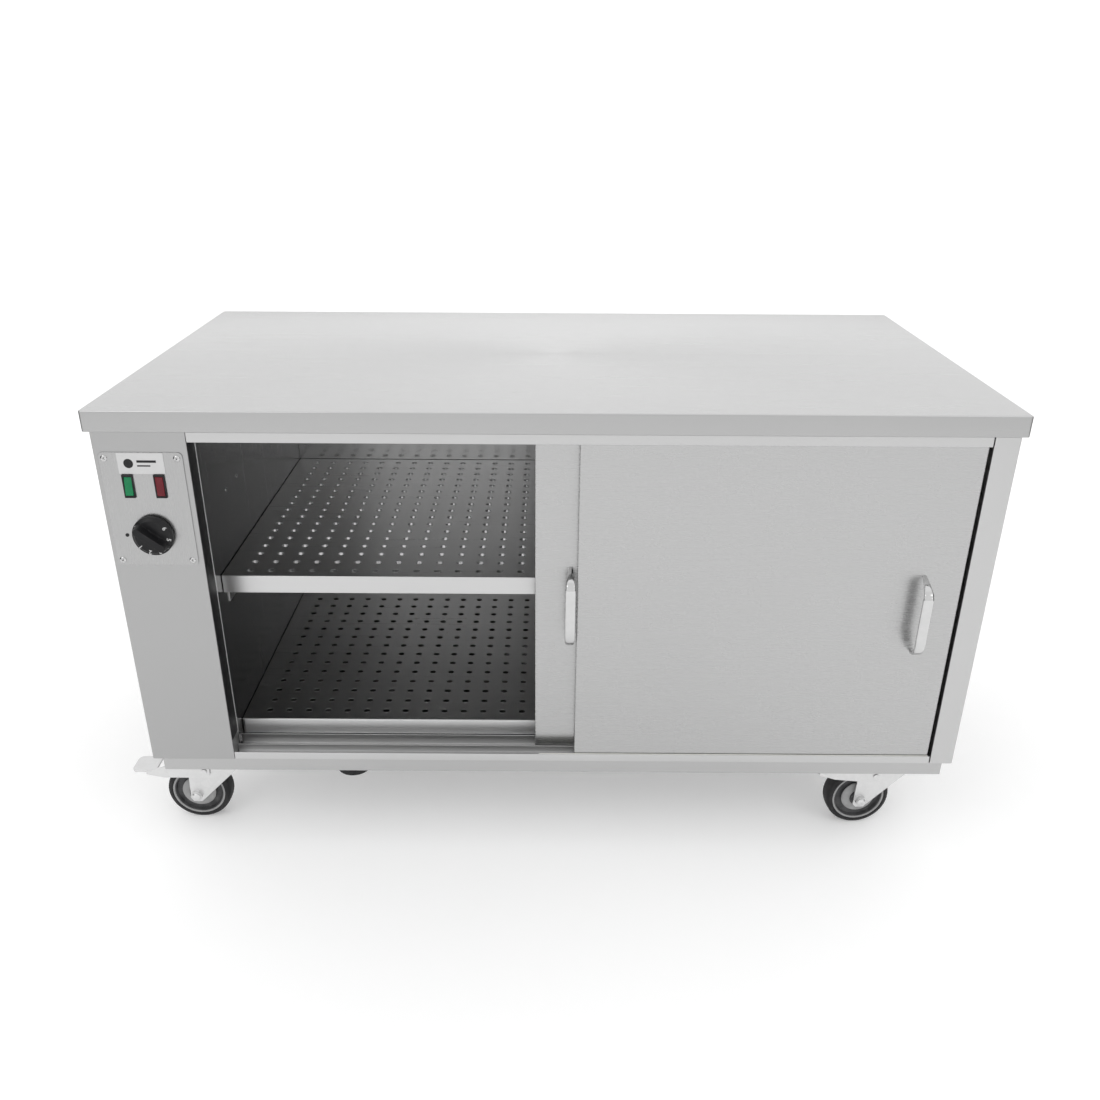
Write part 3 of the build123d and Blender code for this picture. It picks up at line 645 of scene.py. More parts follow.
FINISHES: dict[Slot, Any] = {
    Slot.WORKTOP: SteelFinish(grey(0.565), (0.26, 0.32), Grain.ALONG_X, 1300, 0.000002,
                              cloud=0.02, anisotropy=0.5, smear=0.02),
    Slot.BODY: SteelFinish(grey(0.53), (0.28, 0.34), Grain.ALONG_Z, 1500, 0.000002,
                           cloud=0.02),
    Slot.DOOR: SteelFinish(grey(0.465), (0.26, 0.285), Grain.ALONG_X, 1700, 0.0000007,
                           cloud=0.012, anisotropy=0.3, smear=0.01),
    Slot.PLINTH: SteelFinish(grey(0.48), (0.28, 0.34), Grain.ALONG_X, 1500, 0.000002,
                             cloud=0.03),
    Slot.PLATE: SteelFinish(grey(0.42), (0.24, 0.32), Grain.ALONG_Z, 1700, cloud=0.02),
    Slot.LINER: SteelFinish(grey(0.58), (0.2, 0.23), Grain.ALONG_Z, 1500, 0.0000006,
                            cloud=0.03, anisotropy=0.2, smear=0.01),
    Slot.SHELF: SteelFinish(grey(0.58), (0.27, 0.3), Grain.ALONG_X, 1500, 0.0000006,
                            cloud=0.03, anisotropy=0.2, smear=0.01),
    Slot.BOARD: FibreFinish((0.3, 0.2, 0.11), (0.62, 0.46, 0.29), (60, 420, 420), 0.0004),
    Slot.WOOL: FibreFinish((0.36, 0.3, 0.14), (0.74, 0.66, 0.42), (160, 160, 900), 0.0012),
    Slot.SHEATH: SteelFinish((0.24, 0.22, 0.2), (0.34, 0.5), Grain.ALONG_X, 900, cloud=0.3),
    Slot.FASTENER: PlatedFinish(grey(0.62), (0.12, 0.24), 500),
    Slot.LABEL: MouldedFinish(grey(0.55), (0.32, 0.42), 2200, 0.00001,
                              grey(0.4), 0.1, coat=0.2),
    Slot.BLACK: MouldedFinish((0.012, 0.012, 0.013), (0.34, 0.5), 1800, 0.00005, specular=0.2),
    Slot.KNOB: MouldedFinish((0.008, 0.008, 0.009), (0.3, 0.42), 1500, 0.00003, dusting=0.02,
                             specular=0.25),
    Slot.GREEN: MouldedFinish((0.0, 0.17, 0.06), (0.12, 0.22), 900, 0.00004,
                              (0.1, 0.4, 0.2), 0.1, specular=0.35),
    Slot.RED: MouldedFinish((0.11, 0.002, 0.008), (0.12, 0.22), 900, 0.00004,
                            (0.35, 0.05, 0.06), 0.1, specular=0.35),
    Slot.COPPER: PlatedFinish((0.74, 0.4, 0.26), (0.22, 0.38), 260, film=0.35),
    Slot.NYLON: MouldedFinish((0.74, 0.74, 0.7), (0.38, 0.5), 1300, 0.00005,
                              (0.5, 0.49, 0.45), 0.2),
    Slot.CHROME: PlatedFinish(grey(0.61), (0.05, 0.1), 90, 0.00001, 0.04),
    Slot.ZINC: PlatedFinish(grey(0.72), (0.34, 0.46), 90, 0.00001, 0.06),
    Slot.WHEEL: MouldedFinish((0.05, 0.05, 0.052), (0.42, 0.56), 1100, 0.00008,
                              grey(0.4), 0.14, specular=0.3),
    Slot.RUBBER: MouldedFinish((0.014, 0.014, 0.015), (0.5, 0.66), 900, 0.00012,
                               (0.3, 0.29, 0.28), 0.07, specular=0.25),
}

# A darker copy of the liner steel for the liner's left wall: painted shade.
LEFT_WALL_PAINTED_SHADE = SteelFinish(grey(0.24), (0.24, 0.28), Grain.ALONG_Z, 1500, 0.0000006,
                           cloud=0.12, anisotropy=0.2, smear=0.01)
FASCIA_STEEL = SteelFinish(grey(0.405), (0.28, 0.34), Grain.ALONG_Z, 1500, 0.000002,
                           cloud=0.02)
TRACK_STEEL = SteelFinish(grey(0.57), (0.36, 0.44), Grain.ALONG_X, 1500, 0.000002,
                          cloud=0.04)
# A much lighter, rougher copy of the shelf steel for the lower shelf's lip: painted highlight.
LIP_PAINTED_HIGHLIGHT_STEEL = SteelFinish(grey(0.9), (0.5, 0.58), Grain.ALONG_X, 1500, 0.000002, cloud=0.04)
# A darker copy of the worktop steel for its sides: painted shade, the top being lit.
WORKTOP_SIDES_PAINTED_SHADE = SteelFinish(grey(0.44), (0.26, 0.34), Grain.ALONG_X, 1300, cloud=0.02)
GREY_NYLON = MouldedFinish(grey(0.28), (0.4, 0.55), 900, 0.00006, grey(0.5), 0.3,
                           specular=0.3)


# ---------------------------------------------------------------- the workshop


@dataclass(frozen=True)
class EdgeRound:
    """How the sharp edges of a carried-over part are rounded.

    Attributes:
        width: Millimetres taken off each side of an edge.
        steps: Faces across a rounded edge.
        angle: Least bend in degrees that counts as an edge.
    """

    width: float
    steps: int = 2
    angle: float = 32.0


@dataclass
class Workshop:
    """The loaded frame and the finishes, with the steps that every sub-assembly shares.

    Attributes:
        made: Materials already built, by slot.
    """

    frame: dict[str, Any]
    made: dict[Slot, Material] = field(default_factory=dict)

    def finish(self, slot: Slot) -> Material:
        """The material of a slot, built when it is first asked for.

        Args:
            slot: The record slot.

        Returns:
            Its material.
        """
        if slot not in self.made:
            self.made[slot] = FINISHES[slot].material(f"finish_{slot.value}")
        return self.made[slot]

    def dress(self, piece: Object, slot: Slot) -> None:
        """Gives every material slot of a piece the finish of a record slot.

        Args:
            piece: The piece.
            slot: The record slot.
        """
        if not piece.data.materials:
            piece.data.materials.append(None)
        for held in piece.material_slots:
            held.material = self.finish(slot)

    def carry(self, slot: Slot, *nodes: str) -> None:
        """Keeps CAD nodes as they are, with a proper finish.

        Args:
            slot: The record slot.
            *nodes: The nodes' names.
        """
        for name in nodes:
            self.dress(self.frame["nodes"][name], slot)
            LOG.info("carried over %s", name)

    def add(self, name: str, mesh: Mesh, body: str, slot: Slot,
            stands_for: Iterable[str] = ()) -> Object:
        """Puts a finished mesh on a body.

        Args:
            name: The piece's name.
            mesh: The mesh, in the frame.
            body: The CAD body it moves with.
            slot: The record slot of its finish.
            stands_for: CAD nodes that it replaces.

        Returns:
            The piece.
        """
        piece = linked(name, mesh)
        self.dress(piece, slot)
        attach(piece, body)
        if stands_for:
            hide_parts(*stands_for)
        LOG.info("made %s with %d faces", name, len(mesh.polygons))
        return piece

    def soften(self, node: str, body: str, slot: Slot, edge: EdgeRound) -> Object:
        """A copy of a CAD node with rounded edges, which stands for it.

        Args:
            node: The node's name.
            body: Its body.
            slot: Its finish.
            edge: How its edges are rounded.

        Returns:
            The piece.
        """
        shape = bmesh.new()
        shape.from_mesh(self.frame["nodes"][node].data)
        bmesh.ops.remove_doubles(shape, verts=shape.verts, dist=MERGE_DISTANCE)
        bmesh.ops.dissolve_limit(shape, angle_limit=math.radians(FLAT_BEND), verts=shape.verts,
                                 edges=shape.edges)
        return self.add(f"{node}_shell", rounded_mesh(shape, f"{node}_shell", edge), body, slot,
                        (node,))


def restyled(piece: Object, name: str, finish: Any) -> None:
    """Gives a piece its own version of its slot's finish.

    Args:
        piece: The piece.
        name: The material's name.
        finish: The finish.
    """
    material = bpy.data.materials.get(name) or finish.material(name)
    for held in piece.material_slots:
        held.material = material


def rounded_mesh(shape: Shape, name: str, edge: EdgeRound) -> Mesh:
    """Rounds a shape's edges and shades it.

    Args:
        shape: The shape, which is freed.
        name: The mesh's name.
        edge: How its edges are rounded.

    Returns:
        The mesh, with no modifier left.
    """
    draft = linked(f"{name}_draft", frozen(shape, f"{name}_draft", edge.angle))
    bevel = draft.modifiers.new("edges", "BEVEL")
    bevel.width = edge.width * MM
    bevel.segments = edge.steps
    bevel.limit_method = "ANGLE"
    bevel.angle_limit = math.radians(edge.angle)
    bevel.use_clamp_overlap = True
    bevel.harden_normals = True
    return settled(draft, name)


def settled(draft: Object, name: str) -> Mesh:
    """The evaluated mesh of a draft object, which is then removed.

    Args:
        draft: An object with its modifiers.
        name: The new mesh's name.

    Returns:
        A plain mesh.
    """
    graph = bpy.context.evaluated_depsgraph_get()
    mesh = bpy.data.meshes.new_from_object(draft.evaluated_get(graph), depsgraph=graph)
    mesh.name = name
    bpy.data.objects.remove(draft)
    return mesh


class Run(Enum):
    """The direction in which a strip runs."""

    ACROSS = "x"
    UPRIGHT = "z"


@dataclass(frozen=True)
class Strip:
    """A strip of the cabinet: a closed outline run in a straight line, with its edges rounded.

    Attributes:
        name: The piece's name.
        slot: The record slot of its finish.
        run: Its direction.
        ends: Where it starts and stops, in millimetres.
        outline: Points as (depth, Z) for a run across or (X, depth) for an upright one.
        edge: How its edges are rounded.
    """

    name: str
    slot: Slot
    run: Run
    ends: tuple[float, float]
    outline: tuple[tuple[float, float], ...]
    edge: EdgeRound = EdgeRound(0.15, 2)

    def mesh(self) -> Mesh:
        """The strip as one closed mesh.

        Returns:
            The mesh.
        """
        shape = bmesh.new()
        near, far = ([shape.verts.new(self.corner(a, b, end)) for a, b in self.outline]
                     for end in self.ends)
        shape.faces.new(near)
        shape.faces.new(far)
        for i, _ in enumerate(self.outline):
            k = (i + 1) % len(self.outline)
            shape.faces.new((near[i], near[k], far[k], far[i]))
        bmesh.ops.recalc_face_normals(shape, faces=shape.faces)
        return rounded_mesh(shape, self.name, self.edge)

    def corner(self, first: float, second: float, end: float) -> Vector:
        """The place of an outline point at one end of the run."""
        return at(end, first, second) if self.run is Run.ACROSS else at(first, second, end)

    def lay(self, shop: Workshop) -> Object:
        """Puts the strip on the cabinet."""
        return shop.add(self.name, self.mesh(), "cabinet", self.slot)


def lathe(name: str, outline: Sequence[tuple[float, float]], centre: Vector, turn: float,
          steps: int = 72) -> Mesh:
    """A ring turned about a level axis.

    Args:
        name: The mesh's name.
        outline: Closed outline as (radius, offset along the axis) in millimetres.
        centre: The middle of the ring.
        turn: Degrees by which the axis is turned from the depth direction.
        steps: Faces round the ring.

    Returns:
        The mesh.
    """
    shape = bmesh.new()
    rings = []
    for i in range(steps):
        angle = 2 * math.pi * i / steps
        rings.append([shape.verts.new((r * math.cos(angle) * MM, y * MM, r * math.sin(angle) * MM))
                      for r, y in outline])
    count = len(outline)
    for i in range(steps):
        for j in range(count):
            a, b = rings[i], rings[(i + 1) % steps]
            shape.faces.new((a[j], b[j], b[(j + 1) % count], a[(j + 1) % count]))
    bmesh.ops.recalc_face_normals(shape, faces=shape.faces)
    shape.transform(Matrix.Translation(centre) @ Matrix.Rotation(math.radians(turn), 4, "Z"))
    return frozen(shape, name, RING_BEND)


# ---------------------------------------------------------------- Geometry Nodes


class Recess(Enum):
    """What is sunk into a fastener's head."""

    CROSS = "cross"
    MANDREL = "mandrel"


class NodeRecipe:
    """A Geometry Nodes tree with named sizes, run once to give a plain mesh."""

    def __init__(self, name: str) -> None:
        """Starts the tree with its geometry sockets.

        Args:
            name: The tree's name.
        """
        self.group = bpy.data.node_groups.new(name, "GeometryNodeTree")
        for way in ("INPUT", "OUTPUT"):
            self.group.interface.new_socket("Geometry", in_out=way,
                                            socket_type="NodeSocketGeometry")
        self.entry = self.group.nodes.new("NodeGroupInput")
        self.exit = self.group.nodes.new("NodeGroupOutput")
        self.identifiers: dict[str, str] = {}

    def size(self, name: str, kind: str = "Float") -> Socket:
        """A named input.

        Args:
            name: The input's name.
            kind: Float, Int, Vector or Material.

        Returns:
            Its socket inside the tree.
        """
        made = self.group.interface.new_socket(name, in_out="INPUT",
                                               socket_type=f"NodeSocket{kind}")
        self.identifiers[name] = made.identifier
        return self.entry.outputs[name]

    def node(self, kind: str, settings: Optional[dict[str, Any]] = None,
             **inputs: Any) -> bpy.types.Node:
        """A new node with its settings and inputs.

        Args:
            kind: The node's type without its GeometryNode prefix, or with its own.
            settings: Attributes of the node.
            **inputs: Input names, with an underscore for a space, and sockets or values.

        Returns:
            The node.
        """
        full = kind if kind.startswith(("Shader", "Function")) else f"GeometryNode{kind}"
        made = self.group.nodes.new(full)
        for name, value in (settings or {}).items():
            setattr(made, name, value)
        for name, value in inputs.items():
            self.plug(made.inputs[name.replace("_", " ")], value)
        return made

    def plug(self, socket: Socket, value: Any) -> None:
        """Links a socket, or sets its value.

        Args:
            socket: The socket.
            value: A socket to link it to, or a value.
        """
        if isinstance(value, bpy.types.NodeSocket):
            self.group.links.new(value, socket)
        else:
            socket.default_value = value

    def finish(self, geometry: Socket) -> None:
        """Realizes the instances, sets the material and ends the tree.

        Args:
            geometry: The geometry with its instances.
        """
        real = self.node("RealizeInstances", Geometry=geometry)
        material = self.size("Material", "Material")
        faced = self.node("SetMaterial", Geometry=real.outputs[0], Material=material)
        self.group.links.new(faced.outputs[0], self.exit.inputs[0])

    def run(self, name: str, points: Sequence[Vector], values: dict[str, Any]) -> Mesh:
        """Runs the tree on a set of points.

        Args:
            name: The mesh's name.
            points: The places that the tree starts from.
            values: The named inputs' values.

        Returns:
            A plain mesh.
        """
        mesh = bpy.data.meshes.new(f"{name}_points")
        mesh.from_pydata([tuple(p) for p in points], [], [])
        draft = linked(f"{name}_points", mesh)
        modifier = draft.modifiers.new("recipe", "NODES")
        modifier.node_group = self.group
        for key, value in values.items():
            modifier[self.identifiers[key]] = value
        made = settled(draft, name)
        shade(made, HEAD_BEND)
        return made


@dataclass
class FastenerHeads:
    """Domed heads set on a panel, with a sunk drive or mandrel hole.

    Attributes:
        recess: What is sunk into each head.
        radius: Head radius in millimetres.
        height: Dome height as a share of the radius.
        facing: Euler angles in degrees that turn a head from facing up.
        seed: Seed of the heads' random turn about their axes.
        SEAT_MIDDLE: Middle of the block that cuts the dome flat, for a head of radius 1.
        CROSS_BARS: Sizes of the bars that cut a cross, for a head of radius 1.
    """

    SEAT_MIDDLE: ClassVar[float] = -1.04
    CROSS_BARS: ClassVar[tuple[tuple[float, float, float], ...]] = ((1.05, 0.2, 0.34),
                                                                    (0.2, 1.05, 0.34))

    recess: Recess
    radius: float
    facing: tuple[float, float, float]
    height: float = 0.42
    seed: int = 7

    def recipe(self) -> NodeRecipe:
        """The tree that puts a head on each point.

        Returns:
            The tree.
        """
        tree = NodeRecipe(f"heads_{self.recess.value}")
        radius, facing = tree.size("Radius"), tree.size("Facing", "Vector")
        seed = tree.size("Seed", "Int")
        dome = tree.node("MeshUVSphere", Segments=24, Rings=14, Radius=1.0)
        flat = tree.node("Transform", Geometry=dome.outputs["Mesh"],
                         Scale=(1.0, 1.0, self.height))
        drafts = [(tree.node("MeshCube", Size=(3.0, 3.0, 2.0)), self.SEAT_MIDDLE)]
        if self.recess is Recess.CROSS:
            drafts += [(tree.node("MeshCube", Size=bar), self.height) for bar in self.CROSS_BARS]
        else:
            drafts.append((tree.node("MeshCylinder", Vertices=14, Radius=0.3, Depth=0.36),
                           self.height))
        cutters = [tree.node("Transform", Geometry=draft.outputs["Mesh"],
                             Translation=(0.0, 0.0, z)) for draft, z in drafts]
        cut = tree.node("MeshBoolean", {"operation": "DIFFERENCE"})
        tree.group.links.new(flat.outputs[0], cut.inputs[0])
        for cutter in cutters:
            tree.group.links.new(cutter.outputs[0], cut.inputs[1])
        twist = tree.node("FunctionNodeRandomValue", {"data_type": "FLOAT"}, Seed=seed)
        twist.inputs[2].default_value, twist.inputs[3].default_value = 0.0, math.pi
        about = tree.node("ShaderNodeCombineXYZ", Z=twist.outputs[1])
        spread = tree.node("InstanceOnPoints", Points=tree.entry.outputs["Geometry"],
                           Instance=cut.outputs[0], Scale=radius, Rotation=facing)
        turned = tree.node("RotateInstances", Instances=spread.outputs[0],
                           Rotation=about.outputs[0])
        tree.finish(turned.outputs[0])
        return tree

    def mesh(self, name: str, places: Sequence[Vector], material: Material) -> Mesh:
        """The heads as one mesh.

        Args:
            name: The mesh's name.
            places: The middle of each head's seat.
            material: Their finish.

        Returns:
            The mesh.
        """
        facing = tuple(math.radians(a) for a in self.facing)
        return self.recipe().run(name, places, {"Radius": self.radius * MM, "Facing": facing,
                                                "Seed": self.seed, "Material": material})

    def fasten(self, shop: Workshop, name: str, places: Sequence[Vector],
               *stands_for: str) -> None:
        """Sets the heads on the cabinet.

        Args:
            shop: The workshop.
            name: The piece's name.
            places: The middle of each head's seat.
            *stands_for: CAD nodes that the heads replace.
        """
        mesh = self.mesh(name, places, shop.finish(Slot.FASTENER))
        shop.add(name, mesh, "cabinet", Slot.FASTENER, stands_for)


@dataclass
class PunchedRims:
    """The drawn collars left round a grid of punched holes.

    Attributes:
        pitch: Hole spacing in millimetres.
        columns: Holes along X.
        rows: Holes along the depth.
        radius: Radius of a collar's middle line.
        wall: Thickness of a collar.
        height: Height of a collar.
    """

    pitch: float = 30.0
    columns: int = 33
    rows: int = 17
    radius: float = 5.25
    wall: float = 0.45
    height: float = 3.0

    def mesh(self, name: str, centre: Vector, material: Material) -> Mesh:
        """The rims as one mesh.

        Args:
            name: The mesh's name.
            centre: The middle of the grid, on the sheet's top.
            material: Their finish.

        Returns:
            The mesh.
        """
        tree = NodeRecipe("punched_rims")
        names = ("Width", "Depth", "Hole Radius", "Wall", "Height")
        width, depth, radius, wall, height = (tree.size(n) for n in names)
        columns, rows = tree.size("Columns", "Int"), tree.size("Rows", "Int")
        grid = tree.node("MeshGrid", Size_X=width, Size_Y=depth, Vertices_X=columns,
                         Vertices_Y=rows)
        at_hole = tree.node("SetPosition", Geometry=grid.outputs["Mesh"],
                            Offset=tree.size("Centre", "Vector"))
        ring = tree.node("CurvePrimitiveCircle", {"mode": "RADIUS"}, Resolution=16, Radius=radius)
        section = tree.node("CurvePrimitiveQuadrilateral", {"mode": "RECTANGLE"}, Width=wall,
                            Height=height)
        rim = tree.node("CurveToMesh", Curve=ring.outputs["Curve"],
                        Profile_Curve=section.outputs["Curve"])
        spread = tree.node("InstanceOnPoints", Points=at_hole.outputs[0], Instance=rim.outputs[0])
        tree.finish(spread.outputs[0])
        return tree.run(name, [centre], {
            "Width": (self.columns - 1) * self.pitch * MM,
            "Depth": (self.rows - 1) * self.pitch * MM,
            "Hole Radius": self.radius * MM, "Wall": self.wall * MM, "Height": self.height * MM,
            "Columns": self.columns, "Rows": self.rows, "Centre": centre, "Material": material})


# ---------------------------------------------------------------- sub-assemblies


@dataclass
class Carcass:
    """The worktop and the outer sheets.

    Attributes:
        fold: Rounding of the folded sheets.
        rim: Rounding of the worktop.
        rear_screw_pitch: Widest spacing of the rear panel's screws in millimetres.
        rear_screw_inset: How far they stand in from the panel's edges.
        rear_screw_rows: Screws down each upright edge.
        trim: A black strip standing in for the shadow on the doorway's left jamb (painted shade),
            the bead beside it, and the wiper in the slot in front of the doors' foot.
    """

    fold: EdgeRound = EdgeRound(0.55, 2)
    rim: EdgeRound = EdgeRound(0.9, 3)
    rear_screw_pitch: float = 182.0
    rear_screw_inset: float = 9.0
    rear_screw_rows: int = 4
    trim: tuple[Strip, ...] = (
        # A black strip standing in for the shadow on the doorway's left jamb: painted shade.
        Strip("jamb_painted_shadow_strip", Slot.BLACK, Run.UPRIGHT, (196.0, 655.0),
              ((-470.0, 2.6), (-469.3, 2.6), (-469.0, 6.0), (-469.0, 28.0), (-469.3, 29.4),
               (-470.0, 29.4))),
        Strip("jamb_bead", Slot.FASTENER, Run.UPRIGHT, (172.0, 656.0),
              ((-470.0, 29.8), (-468.8, 29.8), (-468.4, 30.4), (-468.8, 31.0), (-470.0, 31.0))),
        Strip("door_foot_wiper", Slot.NYLON, Run.ACROSS, (-20.0, 554.0),
              ((2.7, 166.0), (4.1, 166.0), (4.1, 175.2), (3.6, 175.8), (2.7, 175.8))),
    )

    def build(self, shop: Workshop) -> None:
        """Makes the carcass's pieces.

        Args:
            shop: The workshop that holds the frame and the finishes.
        """
        top = shop.soften("worktop", "cabinet", Slot.WORKTOP, self.rim)
        # Faces that do not face up get the darker copy: painted shade on the worktop's sides.
        top.data.materials.append(WORKTOP_SIDES_PAINTED_SHADE.material("worktop_sides_painted_shade"))
        for face in top.data.polygons:
            face.material_index = 0 if face.normal.z > 0.5 else 1
        for node in ("left_side_panel", "right_side_panel", "rear_panel", "top_track"):
            shop.soften(node, "cabinet", Slot.BODY, self.fold)
        for node, name, finish in (("control_fascia", "fascia_steel", FASCIA_STEEL),
                                   ("bottom_track", "track_steel", TRACK_STEEL)):
            restyled(shop.soften(node, "cabinet", Slot.BODY, self.fold), name, finish)
        shop.soften("base_pan", "cabinet", Slot.PLINTH, self.fold)
        shop.carry(Slot.BOARD, "worktop_core")
        shop.carry(Slot.BLACK, "cable_gland")
        self.add_rear_screws(shop)
        for strip in self.trim:
            strip.lay(shop)

    def add_rear_screws(self, shop: Workshop) -> None:
        """Sets a row of screws down each upright edge and along the top of the rear panel.

        Args:
            shop: The workshop that holds the frame and the finishes.
        """
        low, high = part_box("rear_panel")
        inset = self.rear_screw_inset * MM
        gaps = self.rear_screw_rows - 1
        places = [Vector((x, high.y, low.z + inset + i * (high.z - low.z - 2 * inset) / gaps))
                  for x in (low.x + inset, high.x - inset) for i in range(self.rear_screw_rows)]
        count = int((high.x - low.x) / (self.rear_screw_pitch * MM))
        for i in range(1, count):
            x = low.x + inset + i * (high.x - low.x - 2 * inset) / count
            places += [Vector((x, high.y, z)) for z in (low.z + inset, high.z - inset)]
        FastenerHeads(Recess.CROSS, 3.8, (-90, 0, 0), 0.4, 11).fasten(shop, "rear_screw_heads",
                                                                      places)


@dataclass
class HeatedCavity:
    """The liner, its shelves and what heats it.

    Attributes:
        fold: Rounding of the liner sheets.
        grid_x: X of the hole grids' middle in millimetres.
        collars: Each shelf with the depth of its grid's middle and its collars' height.
        collar_lift: How far the collars' tops stand above a shelf, in millimetres.
        rivets: Rivet places on the left wall as (depth, Z).
        rivet_head: Height of a rivet's CAD head, taken off to find its seat.
        carried: Nodes kept as they are, by slot.
        lip_cover: The strip in front of the lower shelf's lip, made bright by a painted highlight.
    """

    fold: EdgeRound = EdgeRound(0.45, 2)
    grid_x: float = 43.0
    collars: tuple[tuple[str, float, float], ...] = (("upper_shelf", 328.0, 4.2),
                                                     ("lower_shelf", 334.0, 1.6))
    collar_lift: float = 0.12
    rivets: tuple[tuple[float, float], ...] = ((144.0, 533.0), (199.0, 534.0))
    rivet_head: float = 1.0
    carried: tuple[tuple[Slot, tuple[str, ...]], ...] = (
        (Slot.SHELF, ("shelf_supports",)), (Slot.SHEATH, ("heating_element",)),
        (Slot.LINER, ("element_brackets",)), (Slot.WOOL, ("insulation_boards",)),
        (Slot.COPPER, ("thermostat_bulb",)), (Slot.BLACK, ("thermostat_body", "safety_cutout")),
        (Slot.NYLON, ("terminal_block",)))
    lip_cover: Strip = Strip(
        "lower_lip_cover", Slot.SHELF, Run.ACROSS, (-470.0, 557.0),
        ((67.9, 165.9), (68.9, 165.9), (68.9, 189.4), (68.3, 190.1), (67.9, 189.2)))

    def build(self, shop: Workshop) -> None:
        """Makes the cavity's pieces.

        Args:
            shop: The workshop that holds the frame and the finishes.
        """
        left = shop.soften("liner_left", "cabinet", Slot.LINER, self.fold)
        # The left wall gets the darker copy of the liner steel: painted shade.
        restyled(left, "liner_left_painted_shade", LEFT_WALL_PAINTED_SHADE)
        for node in ("liner_right", "liner_back", "liner_ceiling", "liner_floor"):
            shop.soften(node, "cabinet", Slot.LINER, self.fold)
        for shelf, depth, height in self.collars:
            shop.carry(Slot.SHELF, shelf)
            rims = PunchedRims(height=height)
            centre = at(self.grid_x, depth, 0)
            centre.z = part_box(shelf)[1].z + (self.collar_lift - height / 2) * MM
            name = f"{shelf}_hole_rims"
            shop.add(name, rims.mesh(name, centre, shop.finish(Slot.SHELF)), "cabinet",
                     Slot.SHELF)
        for slot, nodes in self.carried:
            shop.carry(slot, *nodes)
        # The lip strip gets the lighter copy of the shelf steel: painted highlight.
        restyled(self.lip_cover.lay(shop), "lip_painted_highlight_steel", LIP_PAINTED_HIGHLIGHT_STEEL)
        seat = min(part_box("liner_rivets")[1].x - self.rivet_head * MM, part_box("liner_left")[1].x)
        places = [Vector((seat, (d - HALF_DEPTH) * MM, z * MM)) for d, z in self.rivets]
        FastenerHeads(Recess.MANDREL, 3.3, (0, 90, 0), 0.38, 5).fasten(
            shop, "liner_rivet_heads", places, "liner_rivets")


@dataclass
class ControlPanel:
    """The plate with its rocker switch, indicator, label and screws.

    Attributes:
        screws: Screw places as (X, Z) in millimetres.
        moulded: Each rounded node with its body, its slot and its rounding.
        mark_radius: Radius of the label's round symbol.
        mark_left: How far the symbol stands left of the label's middle.
        film: Thickness of the print.
        bars: The label's plain bars as (left, right, low, high), from its middle.
    """

    screws: tuple[tuple[float, float], ...] = ((-578.0, 627.5), (-484.5, 627.5),
                                               (-578.0, 485.5), (-484.5, 485.5))
    moulded: tuple[tuple[str, str, Slot, EdgeRound], ...] = (
        ("control_plate", "cabinet", Slot.PLATE, EdgeRound(0.25, 2)),
        ("switch_housing", "cabinet", Slot.BLACK, EdgeRound(0.5, 3)),
        ("neon_housing", "cabinet", Slot.BLACK, EdgeRound(0.5, 3)),
        ("neon_lens", "cabinet", Slot.RED, EdgeRound(0.35, 2)),
        ("switch_rocker", "power_rocker", Slot.GREEN, EdgeRound(0.35, 2)),
        ("label_plate", "cabinet", Slot.LABEL, EdgeRound(0.15, 2)))
    mark_radius: float = 6.2
    mark_left: float = 16.0
    film: float = 0.12
    bars: tuple[tuple[float, float, float, float], ...] = ((-5.0, 20.0, 1.2, 4.4),
                                                           (-5.0, 12.0, -4.0, -2.2))

    def build(self, shop: Workshop) -> None:
        """Makes the panel's pieces.

        Args:
            shop: The workshop that holds the frame and the finishes.
        """
        for node, body, slot, edge in self.moulded:
            shop.soften(node, body, slot, edge)
        shop.carry(Slot.BLACK, "dial_index")
        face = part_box("control_plate")[0].y
        places = [Vector((x * MM, face, z * MM)) for x, z in self.screws]
        FastenerHeads(Recess.CROSS, 4.5, (90, 0, 0), 0.42, 3).fasten(
            shop, "plate_screw_heads", places, "plate_screws")
        self.add_label_print(shop)

    def add_label_print(self, shop: Workshop) -> None:
        """Prints a generic round symbol and two plain bars on the label.

        Args:
            shop: The workshop that holds the frame and the finishes.
        """
        low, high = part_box("label_plate")
        middle = (low + high) / 2
        shape = bmesh.new()
        film, radius = self.film * MM, self.mark_radius * MM
        disc = bmesh.ops.create_cone(shape, cap_ends=True, segments=40, depth=film,
                                     radius1=radius, radius2=radius)
        place = Matrix.Translation((middle.x - self.mark_left * MM, low.y - film / 2, middle.z))
        bmesh.ops.transform(shape, matrix=place @ Matrix.Rotation(math.radians(90), 4, "X"),
                            verts=disc["verts"])
        for left, right, bottom, top in self.bars:
            size = Vector(((right - left) * MM, film, (top - bottom) * MM))
            where = Vector((middle.x + (left + right) / 2 * MM, low.y - film / 2,
                            middle.z + (bottom + top) / 2 * MM))
            add_block(shape, Matrix.LocRotScale(where, None, size))
        shop.add("label_print", frozen(shape, "label_print"), "cabinet", Slot.BLACK)


